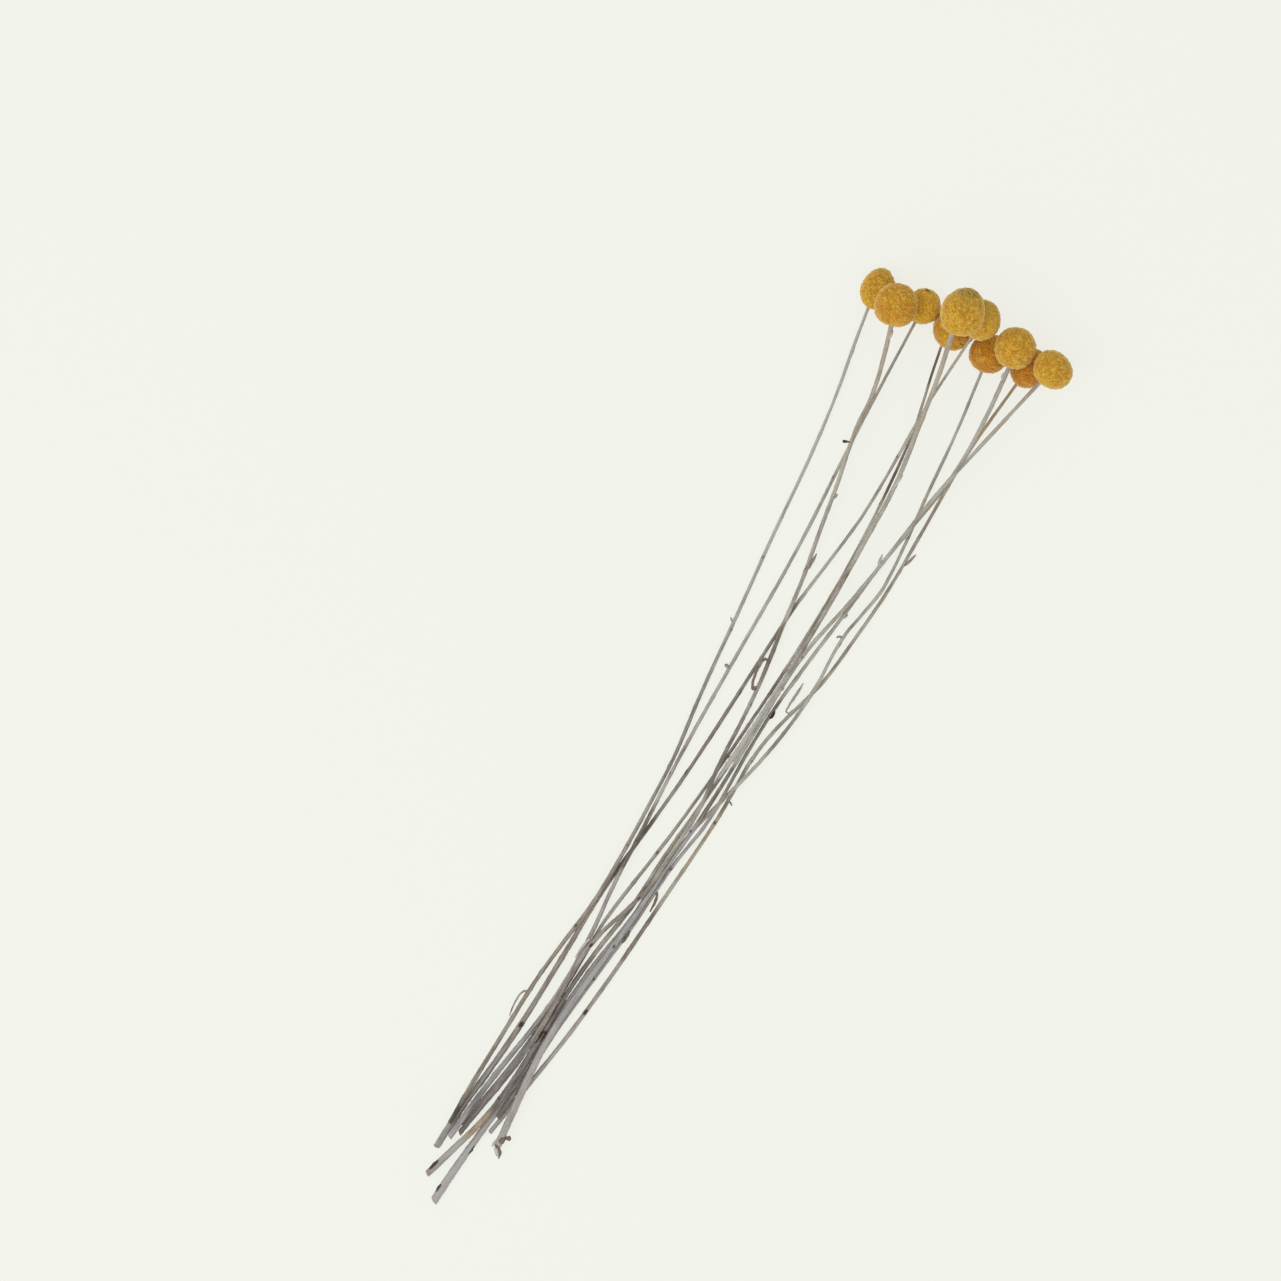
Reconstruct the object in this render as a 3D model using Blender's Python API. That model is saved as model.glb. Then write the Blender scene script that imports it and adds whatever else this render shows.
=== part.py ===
"""A loose bunch of dried billy buttons, laid on a flat surface.

Ten dense, felted, golden heads stand on ten stiff bare stems. The bunch lies along +Y with its
heads at the far end, and +Z is up. Lengths are in millimetres here, and MM turns them into metres
where a mesh is made.
"""

import math
from collections import namedtuple

import bmesh
import bpy
import numpy as np
from mathutils import Matrix, Vector

MM = 0.001

# Driving dimensions, in millimetres
FLORET_WIDTH = 3.6  # across one knob of florets
FLORET_RELIEF = 0.95  # how far a knob stands out of the head
SOCKET_DEPTH = 3.0  # how far a stem reaches into its head
GAP = 0.35  # between a stem and its socket, and at least between any two pieces
HEAD_GAP = 0.45  # between two heads that lie together
FLAT = 1.1  # how far a low head is pressed flat where it lies on the surface
ROW = 14.0  # between two rings of a stem
STEM_SIDES = 6
SOCKET_SIDES = 8
LIFT = 7.2e-4  # how quickly the stems rise towards the heads, per millimetre
FOOT_SHARE = 0.45  # the share of a stem's length in which it thickens to its cut end
FOOT_POWER = 1.3  # how quickly it does
TOP_SHARE = 0.45  # the share of a stem's length in which it thins to its head
GOLDEN_ANGLE = math.pi * (3 - math.sqrt(5))
MERGE = 1e-6  # in metres, vertices nearer than this are one
SHARP_ANGLE = math.radians(35)
FLORET_ROUGHNESS = 0.9
BARK_ROUGHNESS = 0.75

# How the stems are laid among each other
LAST_ROW = 560.0  # the rows reach past the longest stem
STEPS = 1600
LYING_STEPS = 1200  # the first steps, in which the stems come down
LAYER_HEIGHT = 4.0  # between two layers before the stems come down
LAYERS_FULL = 340.0  # along the bunch, the layers are full up to here
LAYERS_END = 440.0  # and there are none from here on
PUSH = 0.2  # the share of an overlap that one step clears
SIDEWAYS = 0.15  # how easily a stem moves across, against up
KEPT_SHIFT = 0.93  # the share of a move across that a stem keeps in each step in which it comes down
SINK = 0.03  # how far a raised stem comes down in one step
EASE = 0.2  # the share of a bend that one step takes out as the stems come down
LATE_EASE = 0.04  # and afterwards
SLANT = 1.07  # a slanting stem's section is longer than its own by this much
SPARE = 0.12  # added to every gap, because the stems bend between rows
HEAD_SPARE = 0.36  # added to the gap between a stem and the heads it passes
FIXED_TOP = 4.0  # the length of a stem's top that points at its head and stays
HEIGHT_STEPS = 40  # how often the height of one head on another is improved

# Where a head's middle lies across and along the bunch, its size, and how much narrower its tip is
# than its stem end. A low head lies on the surface, and the others lie on those named before them.
Head = namedtuple("Head", "x y half_width half_length taper lies")
HEADS = {
    "head_01": Head(-37.5, 528.6, 9.1, 11.2, 0.10, "low"),
    "head_03": Head(-12.4, 532.4, 9.3, 9.7, 0.03, "low"),
    "head_05": Head(7.4, 530.0, 11.0, 11.2, 0.02, "low"),
    "head_07": Head(29.5, 528.0, 10.4, 10.6, 0.02, "low"),
    "head_09": Head(51.8, 532.0, 9.8, 11.1, 0.04, "low"),
    "head_02": Head(-25.2, 525.5, 11.6, 11.7, 0.03, "high"),
    "head_06": Head(17.2, 540.8, 10.4, 10.7, 0.05, "high"),
    "head_08": Head(39.8, 537.0, 10.9, 11.1, 0.02, "high"),
    "head_10": Head(62.3, 536.9, 11.0, 9.5, 0.00, "high"),
    "head_04": Head(6.4, 539.3, 11.6, 13.1, 0.11, "high"),
}

# A stem's order in the pile, its diameters at the top, half way and at the cut end, its tone, and its
# route as (along, across) from the cut end to its head
Stem = namedtuple("Stem", "layer top middle foot tone route")
STEMS = {
    "stem_01": Stem(1.8, 1.6, 1.9, 2.5, "pale", [
        (39.5, -13.0), (62, -13.5), (90, -12.9), (122, -12.1), (150, -9.4), (172, -6.6), (200, -5.5),
        (235, -6.4), (262, -7.5), (300, -12.1), (345, -16.3), (390, -20.8), (440, -25.0),
        (470, -28.8), (500, -34.2), (517.5, -37.0)]),
    "stem_02": Stem(3.8, 2.3, 2.0, 2.7, "grey", [
        (37.5, -6.8), (60, -2.9), (82, 1.2), (110, 3.3), (141, 2.7), (158, 3.9), (170, 7.0),
        (185, 12.1), (194, 14.9), (215, 16.1), (250, 17.4), (270, 14.8), (300, 13.4), (325, 11.3),
        (350, 7.6), (375, 4.6), (400, 0.1), (430, -5.0), (460, -11.0), (480, -12.4),
        (492, -15.2), (515, -22.0)]),
    "stem_03": Stem(1.4, 1.5, 1.9, 3.1, "grey", [
        (33, -11.7), (55, -9.2), (78, -5.7), (110, -0.5), (138, 1.5), (165, 0.6), (190, -1.9),
        (220, -3.1), (255, -5.0), (320, -5.8), (400, -6.6), (440, -8.9), (485, -10.8),
        (523, -12.0)]),
    "stem_04": Stem(2.4, 2.4, 2.1, 3.4, "brown", [
        (11, -10.6), (30, -5.0), (50, 0.9), (70, 3.5), (95, 4.8), (140, 6.0), (164, 9.0),
        (185, 12.3), (214, 13.8), (260, 18.0), (290, 20.1), (330, 22.2), (410, 22.3), (445, 21.3),
        (480, 16.2), (500, 13.2), (526, 7.6)]),
    "stem_05": Stem(0.0, 1.4, 1.7, 2.4, "brown", [
        (42, -8.2), (70, -2.5), (97, 1.0), (125, 3.0), (150, 3.4), (170, 3.4), (190, 5.8),
        (220, 10.3), (250, 13.7), (290, 17.3), (345, 20.6), (400, 21.3), (440, 19.3), (480, 14.6),
        (500, 9.9), (519, 6.1)]),
    "stem_06": Stem(0.0, 1.4, 1.9, 3.6, "grey", [
        (25.5, -13.0), (50, -11.8), (75, -9.1), (105, -7.2), (150, -6.0), (185, -5.3), (220, -1.7),
        (255, 1.7), (300, 4.4), (335, 6.0), (360, 7.4), (390, 11.1), (420, 14.7), (450, 15.3),
        (485, 14.9), (530.3, 17.3)]),
    "stem_07": Stem(2.0, 1.5, 1.9, 4.2, "pale", [
        (0, -0.5), (20, 0.9), (45, 3.6), (80, 6.3), (125, 8.6), (150, 11.0), (180, 15.6),
        (212, 17.2), (236, 20.3), (262, 27.0), (290, 33.8), (320, 37.9), (340, 38.5), (358, 37.2),
        (375, 40.0), (393, 43.2), (412, 42.0), (450, 38.4), (485, 35.4), (518, 31.0)]),
    "stem_08": Stem(2.7, 2.2, 1.8, 2.3, "pale", [
        (54, 6.2), (80, 8.1), (110, 10.1), (140, 13.2), (180, 17.6), (212, 19.4), (243, 24.4),
        (280, 24.4), (310, 25.0), (340, 28.1), (370, 32.0), (400, 35.3), (430, 40.2), (460, 45.0),
        (500, 44.7), (528.5, 41.8)]),
    "stem_09": Stem(0.0, 1.6, 1.9, 2.5, "ochre", [
        (46, 6.2), (60, 8.8), (80, 12.2), (110, 16.8), (150, 21.2), (200, 24.8), (258, 28.3),
        (280, 27.9), (300, 30.4), (320, 35.9), (335, 40.0), (360, 42.8), (390, 45.6), (430, 46.0),
        (480, 46.2), (521, 50.0)]),
    "stem_10": Stem(3.2, 1.9, 2.0, 4.0, "pale", [
        (42, 13.6), (62, 11.5), (82, 9.6), (105, 8.6), (140, 11.5), (180, 15.8), (205, 17.3),
        (245, 20.6), (300, 22.4), (345, 24.2), (380, 31.6), (420, 38.0), (455, 43.4), (480, 49.0),
        (527.5, 59.8)]),
}

# What grows on a stem: where along it, and its points as (across, along, up, radius) from the stem's
# middle line there. A stub or leaf starts inside the stem, and a loop of dried leaf ends free.
GROWTHS = {
    "stem_01": [
        (340.0, [(0.0, -0.4, 0.0, 0.6), (-1.5, 0.4, 0.3, 0.6), (-2.7, 1.6, 0.5, 0.35)]),
        (118.0, [(0.0, -0.8, 0.2, 0.6), (-1.5, 1.0, 0.4, 0.6), (-2.8, -1.0, 0.5, 0.6),
                 (-3.3, -5.0, 0.5, 0.6), (-3.1, -9.5, 0.5, 0.55), (-2.3, -14.5, 0.5, 0.45)]),
    ],
    "stem_02": [
        (511.0, [(0.0, 1.8, 0.2, 0.5), (1.7, 0.3, 0.8, 0.6), (2.5, -2.2, 1.0, 0.35)]),
        (450.8, [(0.0, 0.3, 0.0, 0.8), (-2.6, 0.0, 0.3, 0.75), (-5.3, 0.3, 0.2, 0.55)]),
        (423.0, [(0.0, -1.8, 0.0, 0.7), (0.9, 0.3, 0.5, 0.9), (1.5, 2.4, 0.7, 0.4)]),
        (387.0, [(0.0, -6.0, 0.2, 0.6), (1.2, -2.5, 0.7, 1.0), (1.8, 2.0, 0.9, 0.9),
                 (1.5, 6.0, 0.9, 0.4)]),
        (317.0, [(0.0, 0.6, 0.4, 0.6), (-2.1, -1.5, 1.2, 0.55), (-3.7, 0.4, 1.7, 0.55),
                 (-4.9, 4.0, 2.0, 0.6), (-5.4, 8.5, 2.1, 0.6), (-4.9, 13.0, 2.0, 0.5),
                 (-3.6, 15.0, 1.8, 0.4)]),
    ],
    "stem_03": [
        (318.5, [(0.0, 0.0, 0.0, 0.9), (-2.2, 0.1, 0.4, 0.9), (-3.7, 0.1, 0.4, 0.7)]),
    ],
    "stem_07": [
        (361.0, [(0.0, 0.2, 0.0, 0.7), (-2.0, 0.3, 0.3, 0.6), (-3.1, -1.1, 0.3, 0.45)]),
    ],
    "stem_08": [
        (521.0, [(0.0, -2.0, 0.2, 0.5), (-1.6, 0.0, 0.6, 0.6), (-2.1, 2.0, 0.8, 0.35)]),
        (371.5, [(0.0, -1.0, 0.0, 0.7), (1.1, 0.4, 0.4, 0.9), (1.5, 2.0, 0.5, 0.5)]),
        (198.0, [(0.0, 1.0, 0.2, 0.5), (1.8, -1.5, 1.0, 0.7), (2.7, -6.0, 1.2, 0.7),
                 (2.9, -11.0, 1.1, 0.35)]),
    ],
    "stem_09": [
        (411.0, [(0.0, -1.2, 0.0, 0.7), (1.4, 1.5, 0.5, 0.8), (2.2, 4.5, 0.6, 0.7),
                 (3.0, 7.5, 0.7, 0.35)]),
        (311.5, [(0.0, -1.2, 0.0, 0.6), (-1.4, 1.6, 0.5, 0.8), (-2.0, 8.0, 0.8, 0.9),
                 (-1.9, 14.0, 0.8, 0.8), (-2.2, 19.0, 0.8, 0.35)]),
        (257.5, [(0.0, 0.3, 0.0, 0.5), (1.7, 0.0, 0.3, 0.4), (2.9, -0.9, 0.4, 0.35)]),
    ],
    "stem_10": [
        (404.0, [(0.0, -1.2, 0.2, 0.7), (-1.2, 2.2, 0.6, 0.7), (-1.9, 5.6, 0.8, 0.35)]),
    ],
}
# The torn, knobby end of the thickest side stem: lumps as (across, along, up, radius) from its end
TORN_STEM = "stem_10"
TORN_END = [(-1.2, 0.2, 0.2, 1.9), (1.4, 0.6, 0.3, 2.0), (0.3, -2.2, 0.1, 2.0), (2.0, 4.4, 0.5, 1.5),
            (-0.8, 3.2, 0.3, 2.1)]
LUMP_CLEARANCE = 0.05  # between a lump and the surface below

TONES = {
    "golden": (0.48, 0.25, 0.03),
    "grey": (0.27, 0.24, 0.21),
    "pale": (0.42, 0.40, 0.38),
    "brown": (0.21, 0.165, 0.125),
    "ochre": (0.26, 0.18, 0.09),
}


def material(tone):
    """The plain material of one tone."""
    name = f"dried {tone}"
    if name in bpy.data.materials:
        return bpy.data.materials[name]
    made = bpy.data.materials.new(name)
    made.use_nodes = True
    shader = made.node_tree.nodes["Principled BSDF"]
    shader.inputs["Base Color"].default_value = (*TONES[tone], 1.0)
    roughness = FLORET_ROUGHNESS if tone == "golden" else BARK_ROUGHNESS
    shader.inputs["Roughness"].default_value = roughness
    shader.inputs["Metallic"].default_value = 0.0
    return made


def add_object(name, bm):
    """The bmesh as a named object in the scene."""
    mesh = bpy.data.meshes.new(name)
    bm.to_mesh(mesh)
    bm.free()
    made = bpy.data.objects.new(name, mesh)
    bpy.context.scene.collection.objects.link(made)
    return made


def mesh_of(made):
    """The object's mesh as the viewport shows it, as a bmesh."""
    graph = bpy.context.evaluated_depsgraph_get()
    shown = made.evaluated_get(graph)
    bm = bmesh.new()
    bm.from_mesh(shown.to_mesh())
    shown.to_mesh_clear()
    return bm


def remove(made):
    """Takes an object and its data out of the file."""
    data = made.data
    bpy.data.objects.remove(made)
    if isinstance(data, bpy.types.Curve):
        bpy.data.curves.remove(data)
    else:
        bpy.data.meshes.remove(data)


def tube(points, radii):
    """A tube with flat ends through the points."""
    curve = bpy.data.curves.new("tube", "CURVE")
    curve.dimensions = "3D"
    curve.fill_mode = "FULL"
    curve.bevel_depth = MM
    curve.bevel_resolution = (STEM_SIDES - 4) // 2
    curve.use_fill_caps = True
    spline = curve.splines.new("POLY")
    spline.points.add(len(points) - 1)
    for knot, point, radius in zip(spline.points, points, radii):
        knot.co = (*(MM * Vector(point)), 1.0)
        knot.radius = radius
    made = bpy.data.objects.new("tube", curve)
    bpy.context.scene.collection.objects.link(made)
    bm = mesh_of(made)
    remove(made)
    bmesh.ops.remove_doubles(bm, verts=bm.verts, dist=MERGE)
    bmesh.ops.recalc_face_normals(bm, faces=bm.faces)
    return bm


def lump(centre, radius):
    """A small round lump."""
    bm = bmesh.new()
    place = Matrix.Translation(MM * Vector(centre))
    bmesh.ops.create_icosphere(bm, subdivisions=1, radius=MM * radius, matrix=place)
    return bm


def joined(name, body, extras):
    """The body with the extras fused to it, as one solid."""
    made = add_object(name, body)
    if not extras:
        return made
    group = bpy.data.collections.new("extras")
    bpy.context.scene.collection.children.link(group)
    for bm in extras:
        extra = add_object("extra", bm)
        bpy.context.scene.collection.objects.unlink(extra)
        group.objects.link(extra)
    union = made.modifiers.new("union", "BOOLEAN")
    union.operation = "UNION"
    union.operand_type = "COLLECTION"
    union.collection = group
    union.solver = "EXACT"
    fused = mesh_of(made)
    made.modifiers.clear()
    fused.to_mesh(made.data)
    fused.free()
    for extra in list(group.objects):
        remove(extra)
    bpy.data.collections.remove(group)
    return made


def smooth_at(route, at):
    """Where a smooth line through the route's (along, across) points runs at each value."""
    along, across = np.array(route, float).T
    slope = np.gradient(across, along)
    i = np.clip(np.searchsorted(along, at) - 1, 0, len(along) - 2)
    step = along[i + 1] - along[i]
    t = (at - along[i]) / step
    inside = np.clip(t, 0.0, 1.0)
    curve = (
        (2 * inside**3 - 3 * inside**2 + 1) * across[i]
        + (inside**3 - 2 * inside**2 + inside) * step * slope[i]
        + (-2 * inside**3 + 3 * inside**2) * across[i + 1]
        + (inside**3 - inside**2) * step * slope[i + 1]
    )
    return curve + (t - inside) * step * np.where(t < 0, slope[i], slope[i + 1])


def reach(head, away):
    """How far a head reaches from its middle in the unit direction given."""
    lengthwise = away[1] ** 2
    return ((1 - lengthwise) / head.half_width**2 + lengthwise / head.half_length**2) ** -0.5


def head_heights():
    """The height of each head's middle: low heads lie on the surface, the others on heads below."""
    heights = {}
    for name, head in HEADS.items():
        heights[name] = head.half_width - FLAT
        if head.lies == "low":
            continue
        for other_name, other_height in list(heights.items()):
            other = HEADS[other_name]
            plan = np.array([head.x - other.x, head.y - other.y])
            rise = head.half_width + other.half_width
            for _ in range(HEIGHT_STEPS):
                away = np.array([*plan, rise])
                away /= np.linalg.norm(away)
                apart = reach(head, away) + reach(other, away) + HEAD_GAP
                rise = math.sqrt(max(0.0, apart**2 - plan @ plan))
            if other_name != name and rise > 0:
                heights[name] = max(heights[name], other_height + rise)
    return heights


def stem_radius(stem, along):
    """A stem's radius: thinnest at its head, and quickly thicker near its cut end."""
    foot = stem.route[0][0]
    top = stem.route[-1][0]
    share = np.clip((along - foot) / (top - foot), 0.0, 1.0)
    near_foot = np.clip(1 - share / FOOT_SHARE, 0.0, 1.0) ** FOOT_POWER
    near_top = np.clip(1 - (1 - share) / TOP_SHARE, 0.0, 1.0)
    diameter = stem.middle + (stem.foot - stem.middle) * near_foot + (stem.top - stem.middle) * near_top
    return diameter / 2


def rising_line(name, height, rows):
    """A stem's line before it is laid among the others: along the surface, then up to its head."""
    stem = STEMS[name]
    top = stem.route[-1][0]
    radius = stem_radius(stem, rows)
    # The rise is a parabola whose end points at the middle of the head
    beyond = HEADS[name.replace("stem", "head")].y - top
    slope = 2 * LIFT * (math.sqrt(beyond**2 + (height - stem.top / 2) / LIFT) - beyond)
    start = top - slope / (2 * LIFT)
    lift = LIFT * np.maximum(0.0, np.minimum(rows, top) - start) ** 2
    lift += slope * np.maximum(0.0, rows - top)
    return np.column_stack([smooth_at(stem.route, rows), radius + lift]), radius


def push_apart(point, thick, there):
    """How each stem moves, across and up, to come clear of the stems it touches."""
    away = point[:, None] - point[None]
    far = np.linalg.norm(away, axis=3) + 1e-9
    need = SLANT * (thick[:, None] + thick[None]) + GAP + SPARE
    short = np.where(there[:, None] & there[None], np.maximum(0.0, need - far), 0.0)
    short[range(len(short)), range(len(short))] = 0.0
    return PUSH * ((short / far)[..., None] * away).sum(1)


def push_off_heads(point, thick, there, along, centres, sizes):
    """How each stem moves, across and up, to come clear of every head but its own."""
    place = np.stack([point[..., 0], np.broadcast_to(along, thick.shape), point[..., 1]], axis=-1)
    away = place[:, None] - centres[None, :, None]
    far = np.linalg.norm(away, axis=3)
    need = sizes[None, :, None] + thick[:, None] + GAP + HEAD_SPARE
    short = np.where(there[:, None], np.maximum(0.0, need - far), 0.0)
    short[range(len(short)), range(len(short))] = 0.0
    return PUSH * ((short / far)[..., None] * away[..., [0, 2]]).sum(1)


def settled_stems(heights):
    """Each stem's middle line, laid down until it rests clear of the other stems and heads."""
    rows = np.arange(-ROW, LAST_ROW, ROW)
    names = list(STEMS)
    heads = [name.replace("stem", "head") for name in names]
    centres = np.array([[HEADS[h].x, HEADS[h].y, heights[h]] for h in heads])
    sizes = np.array([max(HEADS[h].half_width, HEADS[h].half_length) for h in heads])
    foot = np.array([STEMS[name].route[0][0] for name in names])[:, None]
    top = np.array([STEMS[name].route[-1][0] for name in names])[:, None]
    layer = np.array([STEMS[name].layer for name in names])[:, None]
    lines = [rising_line(name, heights[head], rows) for name, head in zip(names, heads)]
    wanted = np.array([line for line, _ in lines])
    radius = np.array([thick for _, thick in lines])
    present = (rows > foot - ROW) & (rows < top + ROW)
    there = present[:, :-1] & present[:, 1:]
    # The last stretch points at the head and stays as it is
    free = np.clip((top - FIXED_TOP - rows) / ROW, 0.0, 1.0)[..., None]
    layered = np.clip((LAYERS_END - rows) / (LAYERS_END - LAYERS_FULL), 0.0, 1.0)
    shift = np.zeros_like(wanted)
    shift[..., 1] = LAYER_HEIGHT * layer * layered
    for step in range(STEPS):
        lying = step < LYING_STEPS
        at = wanted + shift
        push = np.zeros_like(at)
        for t in (0.0, 0.25, 0.5, 0.75):
            point = (1 - t) * at[:, :-1] + t * at[:, 1:]
            thick = (1 - t) * radius[:, :-1] + t * radius[:, 1:]
            along = (1 - t) * rows[:-1] + t * rows[1:]
            move = push_apart(point, thick, there)
            move += push_off_heads(point, thick, there, along, centres, sizes)
            push[:, :-1] += (1 - t) * move
            push[:, 1:] += t * move
        push[..., 0] *= SIDEWAYS
        shift += push * free
        if lying:
            shift[..., 0] *= KEPT_SHIFT
            shift[..., 1] -= SINK * (shift[..., 1] > 0)
        bend = shift[:, :-2] - 2 * shift[:, 1:-1] + shift[:, 2:]
        shift[:, 1:-1] += (EASE if lying else LATE_EASE) * bend
        shift *= free > 0
        shift[..., 1] = np.maximum(shift[..., 1], radius - wanted[..., 1])
    settled = wanted + shift
    result = {}
    for name, line, low, high in zip(names, settled, foot[:, 0], top[:, 0]):
        inner = rows[(rows > low + ROW / 3) & (rows < high - ROW / 2)]
        along = np.array([low, *inner, high])
        across = np.interp(along, rows, line[:, 0])
        height = np.interp(along, rows, line[:, 1])
        result[name] = np.column_stack([across, along, height])
    return result


def make_stem(name, line):
    """One stem with all that grows on it, up to the bottom of its head's socket."""
    stem = STEMS[name]
    end = line[-1] - line[-2]
    end /= np.linalg.norm(end)
    points = np.vstack([line, line[-1] + end * (SOCKET_DEPTH - GAP)])
    radii = stem_radius(stem, points[:, 1])
    extras = []
    for along, growth in GROWTHS.get(name, []):
        root = np.array([np.interp(along, line[:, 1], line[:, i]) for i in range(3)])
        extras.append(tube([root + np.array(p[:3]) for p in growth], [p[3] for p in growth]))
    if name == TORN_STEM:
        for across, along, up, radius in TORN_END:
            height = max(line[0, 2] + up, radius + LUMP_CLEARANCE)
            extras.append(lump((line[0, 0] + across, line[0, 1] + along, height), radius))
    made = joined(name, tube(points, radii), extras)
    made.data.materials.append(material(stem.tone))
    return made


def make_head(name, height, line):
    """One head: knobs of florets in a sunflower's order, with a socket where its stem goes in."""
    head = HEADS[name]
    centre = Vector((head.x, head.y, height))
    entry = Vector(line[-1])
    inward = (entry - Vector(line[-2])).normalized()
    turn = Vector((0, 0, 1)).rotation_difference(inward).to_matrix().to_4x4()
    area = 4 * math.pi * head.half_width * (head.half_width + head.half_length) / 2
    florets = round(area / (FLORET_WIDTH**2 * math.sqrt(3) / 2))
    bm = bmesh.new()
    for k in range(florets):
        t = 1 - (2 * k + 1) / florets
        across = head.half_width * (1 - head.taper * t) * math.sqrt(1 - t * t)
        angle = k * GOLDEN_ANGLE
        bm.verts.new((across * math.cos(angle), across * math.sin(angle), head.half_length * t))
    bmesh.ops.convex_hull(bm, input=bm.verts)
    ridges = list(bm.edges)
    # Pits go between the knobs, and turning the edges leads the grooves from pit to pit
    bmesh.ops.poke(bm, faces=bm.faces, offset=-FLORET_RELIEF)
    bmesh.ops.rotate_edges(bm, edges=ridges)
    bmesh.ops.transform(bm, matrix=Matrix.Translation(centre) @ turn, verts=bm.verts)
    bmesh.ops.scale(bm, vec=(MM, MM, MM), verts=bm.verts)
    below = bmesh.ops.bisect_plane(
        bm, geom=bm.verts[:] + bm.edges[:] + bm.faces[:], plane_co=(0, 0, 0), plane_no=(0, 0, -1),
        clear_outer=True)
    rim = [e for e in below["geom_cut"] if isinstance(e, bmesh.types.BMEdge) and e.is_boundary]
    if rim:
        bmesh.ops.contextual_create(bm, geom=rim)
    bmesh.ops.recalc_face_normals(bm, faces=bm.faces)
    made = add_object(name, bm)
    made.data.materials.append(material("golden"))

    radius = STEMS[name.replace("head", "stem")].top / 2 + GAP
    radius /= math.cos(math.pi / SOCKET_SIDES)
    length = 2 * SOCKET_DEPTH
    hole = bmesh.new()
    bmesh.ops.create_cone(
        hole, cap_ends=True, segments=SOCKET_SIDES, radius1=MM * radius, radius2=MM * radius,
        depth=MM * length)
    middle = entry + inward * (SOCKET_DEPTH - length / 2)
    bmesh.ops.transform(hole, matrix=Matrix.Translation(MM * middle) @ turn, verts=hole.verts)
    cutter = add_object("socket", hole)
    cut = made.modifiers.new("socket", "BOOLEAN")
    cut.operation = "DIFFERENCE"
    cut.object = cutter
    cut.solver = "EXACT"
    result = mesh_of(made)
    made.modifiers.clear()
    result.to_mesh(made.data)
    result.free()
    remove(cutter)
    return made


def centre_on_origin(pieces):
    """Moves the meshes so that the bunch's box stands on the origin, with its bottom at z = 0."""
    corners = np.array([v.co for piece in pieces for v in piece.data.vertices])
    low, high = corners.min(0), corners.max(0)
    move = Matrix.Translation((-(low[0] + high[0]) / 2, -(low[1] + high[1]) / 2, -low[2]))
    for piece in pieces:
        piece.data.transform(move)


def main():
    for old in list(bpy.data.objects):
        bpy.data.objects.remove(old)
    heights = head_heights()
    lines = settled_stems(heights)
    pieces = []
    for name in sorted(HEADS):
        pieces.append(make_head(name, heights[name], lines[name.replace("head", "stem")]))
    for name in STEMS:
        pieces.append(make_stem(name, lines[name]))
    centre_on_origin(pieces)
    for piece in pieces:
        piece.data.shade_smooth()
        piece.data.set_sharp_from_angle(angle=SHARP_ANGLE)


main()
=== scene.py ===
"""Looks for a loose bunch of dried billy buttons, laid on a pale surface and seen from above.

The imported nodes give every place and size. A stem's middle line is read from sections of its node,
and a head's middle, axis and widths from its box and its stem. Lengths are in metres.
"""

import functools
import math
from collections import namedtuple

import bmesh
import bpy
import numpy as np
from bpy.props import FloatProperty, FloatVectorProperty, IntProperty, PointerProperty
from mathutils import Matrix, Vector


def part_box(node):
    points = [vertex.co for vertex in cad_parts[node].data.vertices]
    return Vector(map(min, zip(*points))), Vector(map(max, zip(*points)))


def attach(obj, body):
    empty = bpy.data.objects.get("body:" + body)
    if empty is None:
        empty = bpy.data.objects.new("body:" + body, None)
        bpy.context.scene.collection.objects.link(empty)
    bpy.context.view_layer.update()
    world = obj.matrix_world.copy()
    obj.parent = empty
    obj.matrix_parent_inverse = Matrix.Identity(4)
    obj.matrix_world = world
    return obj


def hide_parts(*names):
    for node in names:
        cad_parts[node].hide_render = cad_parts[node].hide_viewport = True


bl_info = {
    "name": "Dried Billy Buttons",
    "version": (1, 0, 0),
    "blender": (4, 5, 0),
    "location": "View3D > Sidebar > Billy Buttons",
    "description": "Models the golden heads and bare stems of a dried bunch",
    "category": "Add Mesh",
}

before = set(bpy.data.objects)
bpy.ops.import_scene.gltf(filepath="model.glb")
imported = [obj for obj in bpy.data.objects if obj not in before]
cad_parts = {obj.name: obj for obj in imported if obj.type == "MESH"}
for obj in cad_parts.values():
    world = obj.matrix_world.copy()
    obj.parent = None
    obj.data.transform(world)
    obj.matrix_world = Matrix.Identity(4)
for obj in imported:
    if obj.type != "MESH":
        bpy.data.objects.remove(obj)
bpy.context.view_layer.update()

MM = 0.001
GOLDEN_ANGLE = math.pi * (3 - math.sqrt(5))

# How a stem's middle line is read from its node, whose section is a hexagon
SECTION_STEP = 7.0 * MM  # from one section to the next
SECTION_SLACK = 0.12  # how much wider or narrower the next one may be, if nothing grows there
TOP_MARGIN = 1.0 * MM  # how far the first section lies below the top
FOOT_MARGIN = 1.5 * MM  # and the last one above the cut end
HEXAGON = 1.5 * math.sqrt(3)  # the area of a hexagon whose radius is 1
TORN_STEM = "stem_10"  # this stem's node has torn bark past the stem's own end
TORN_FOOT = -233.9 * MM  # which lies here along the bunch

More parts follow.
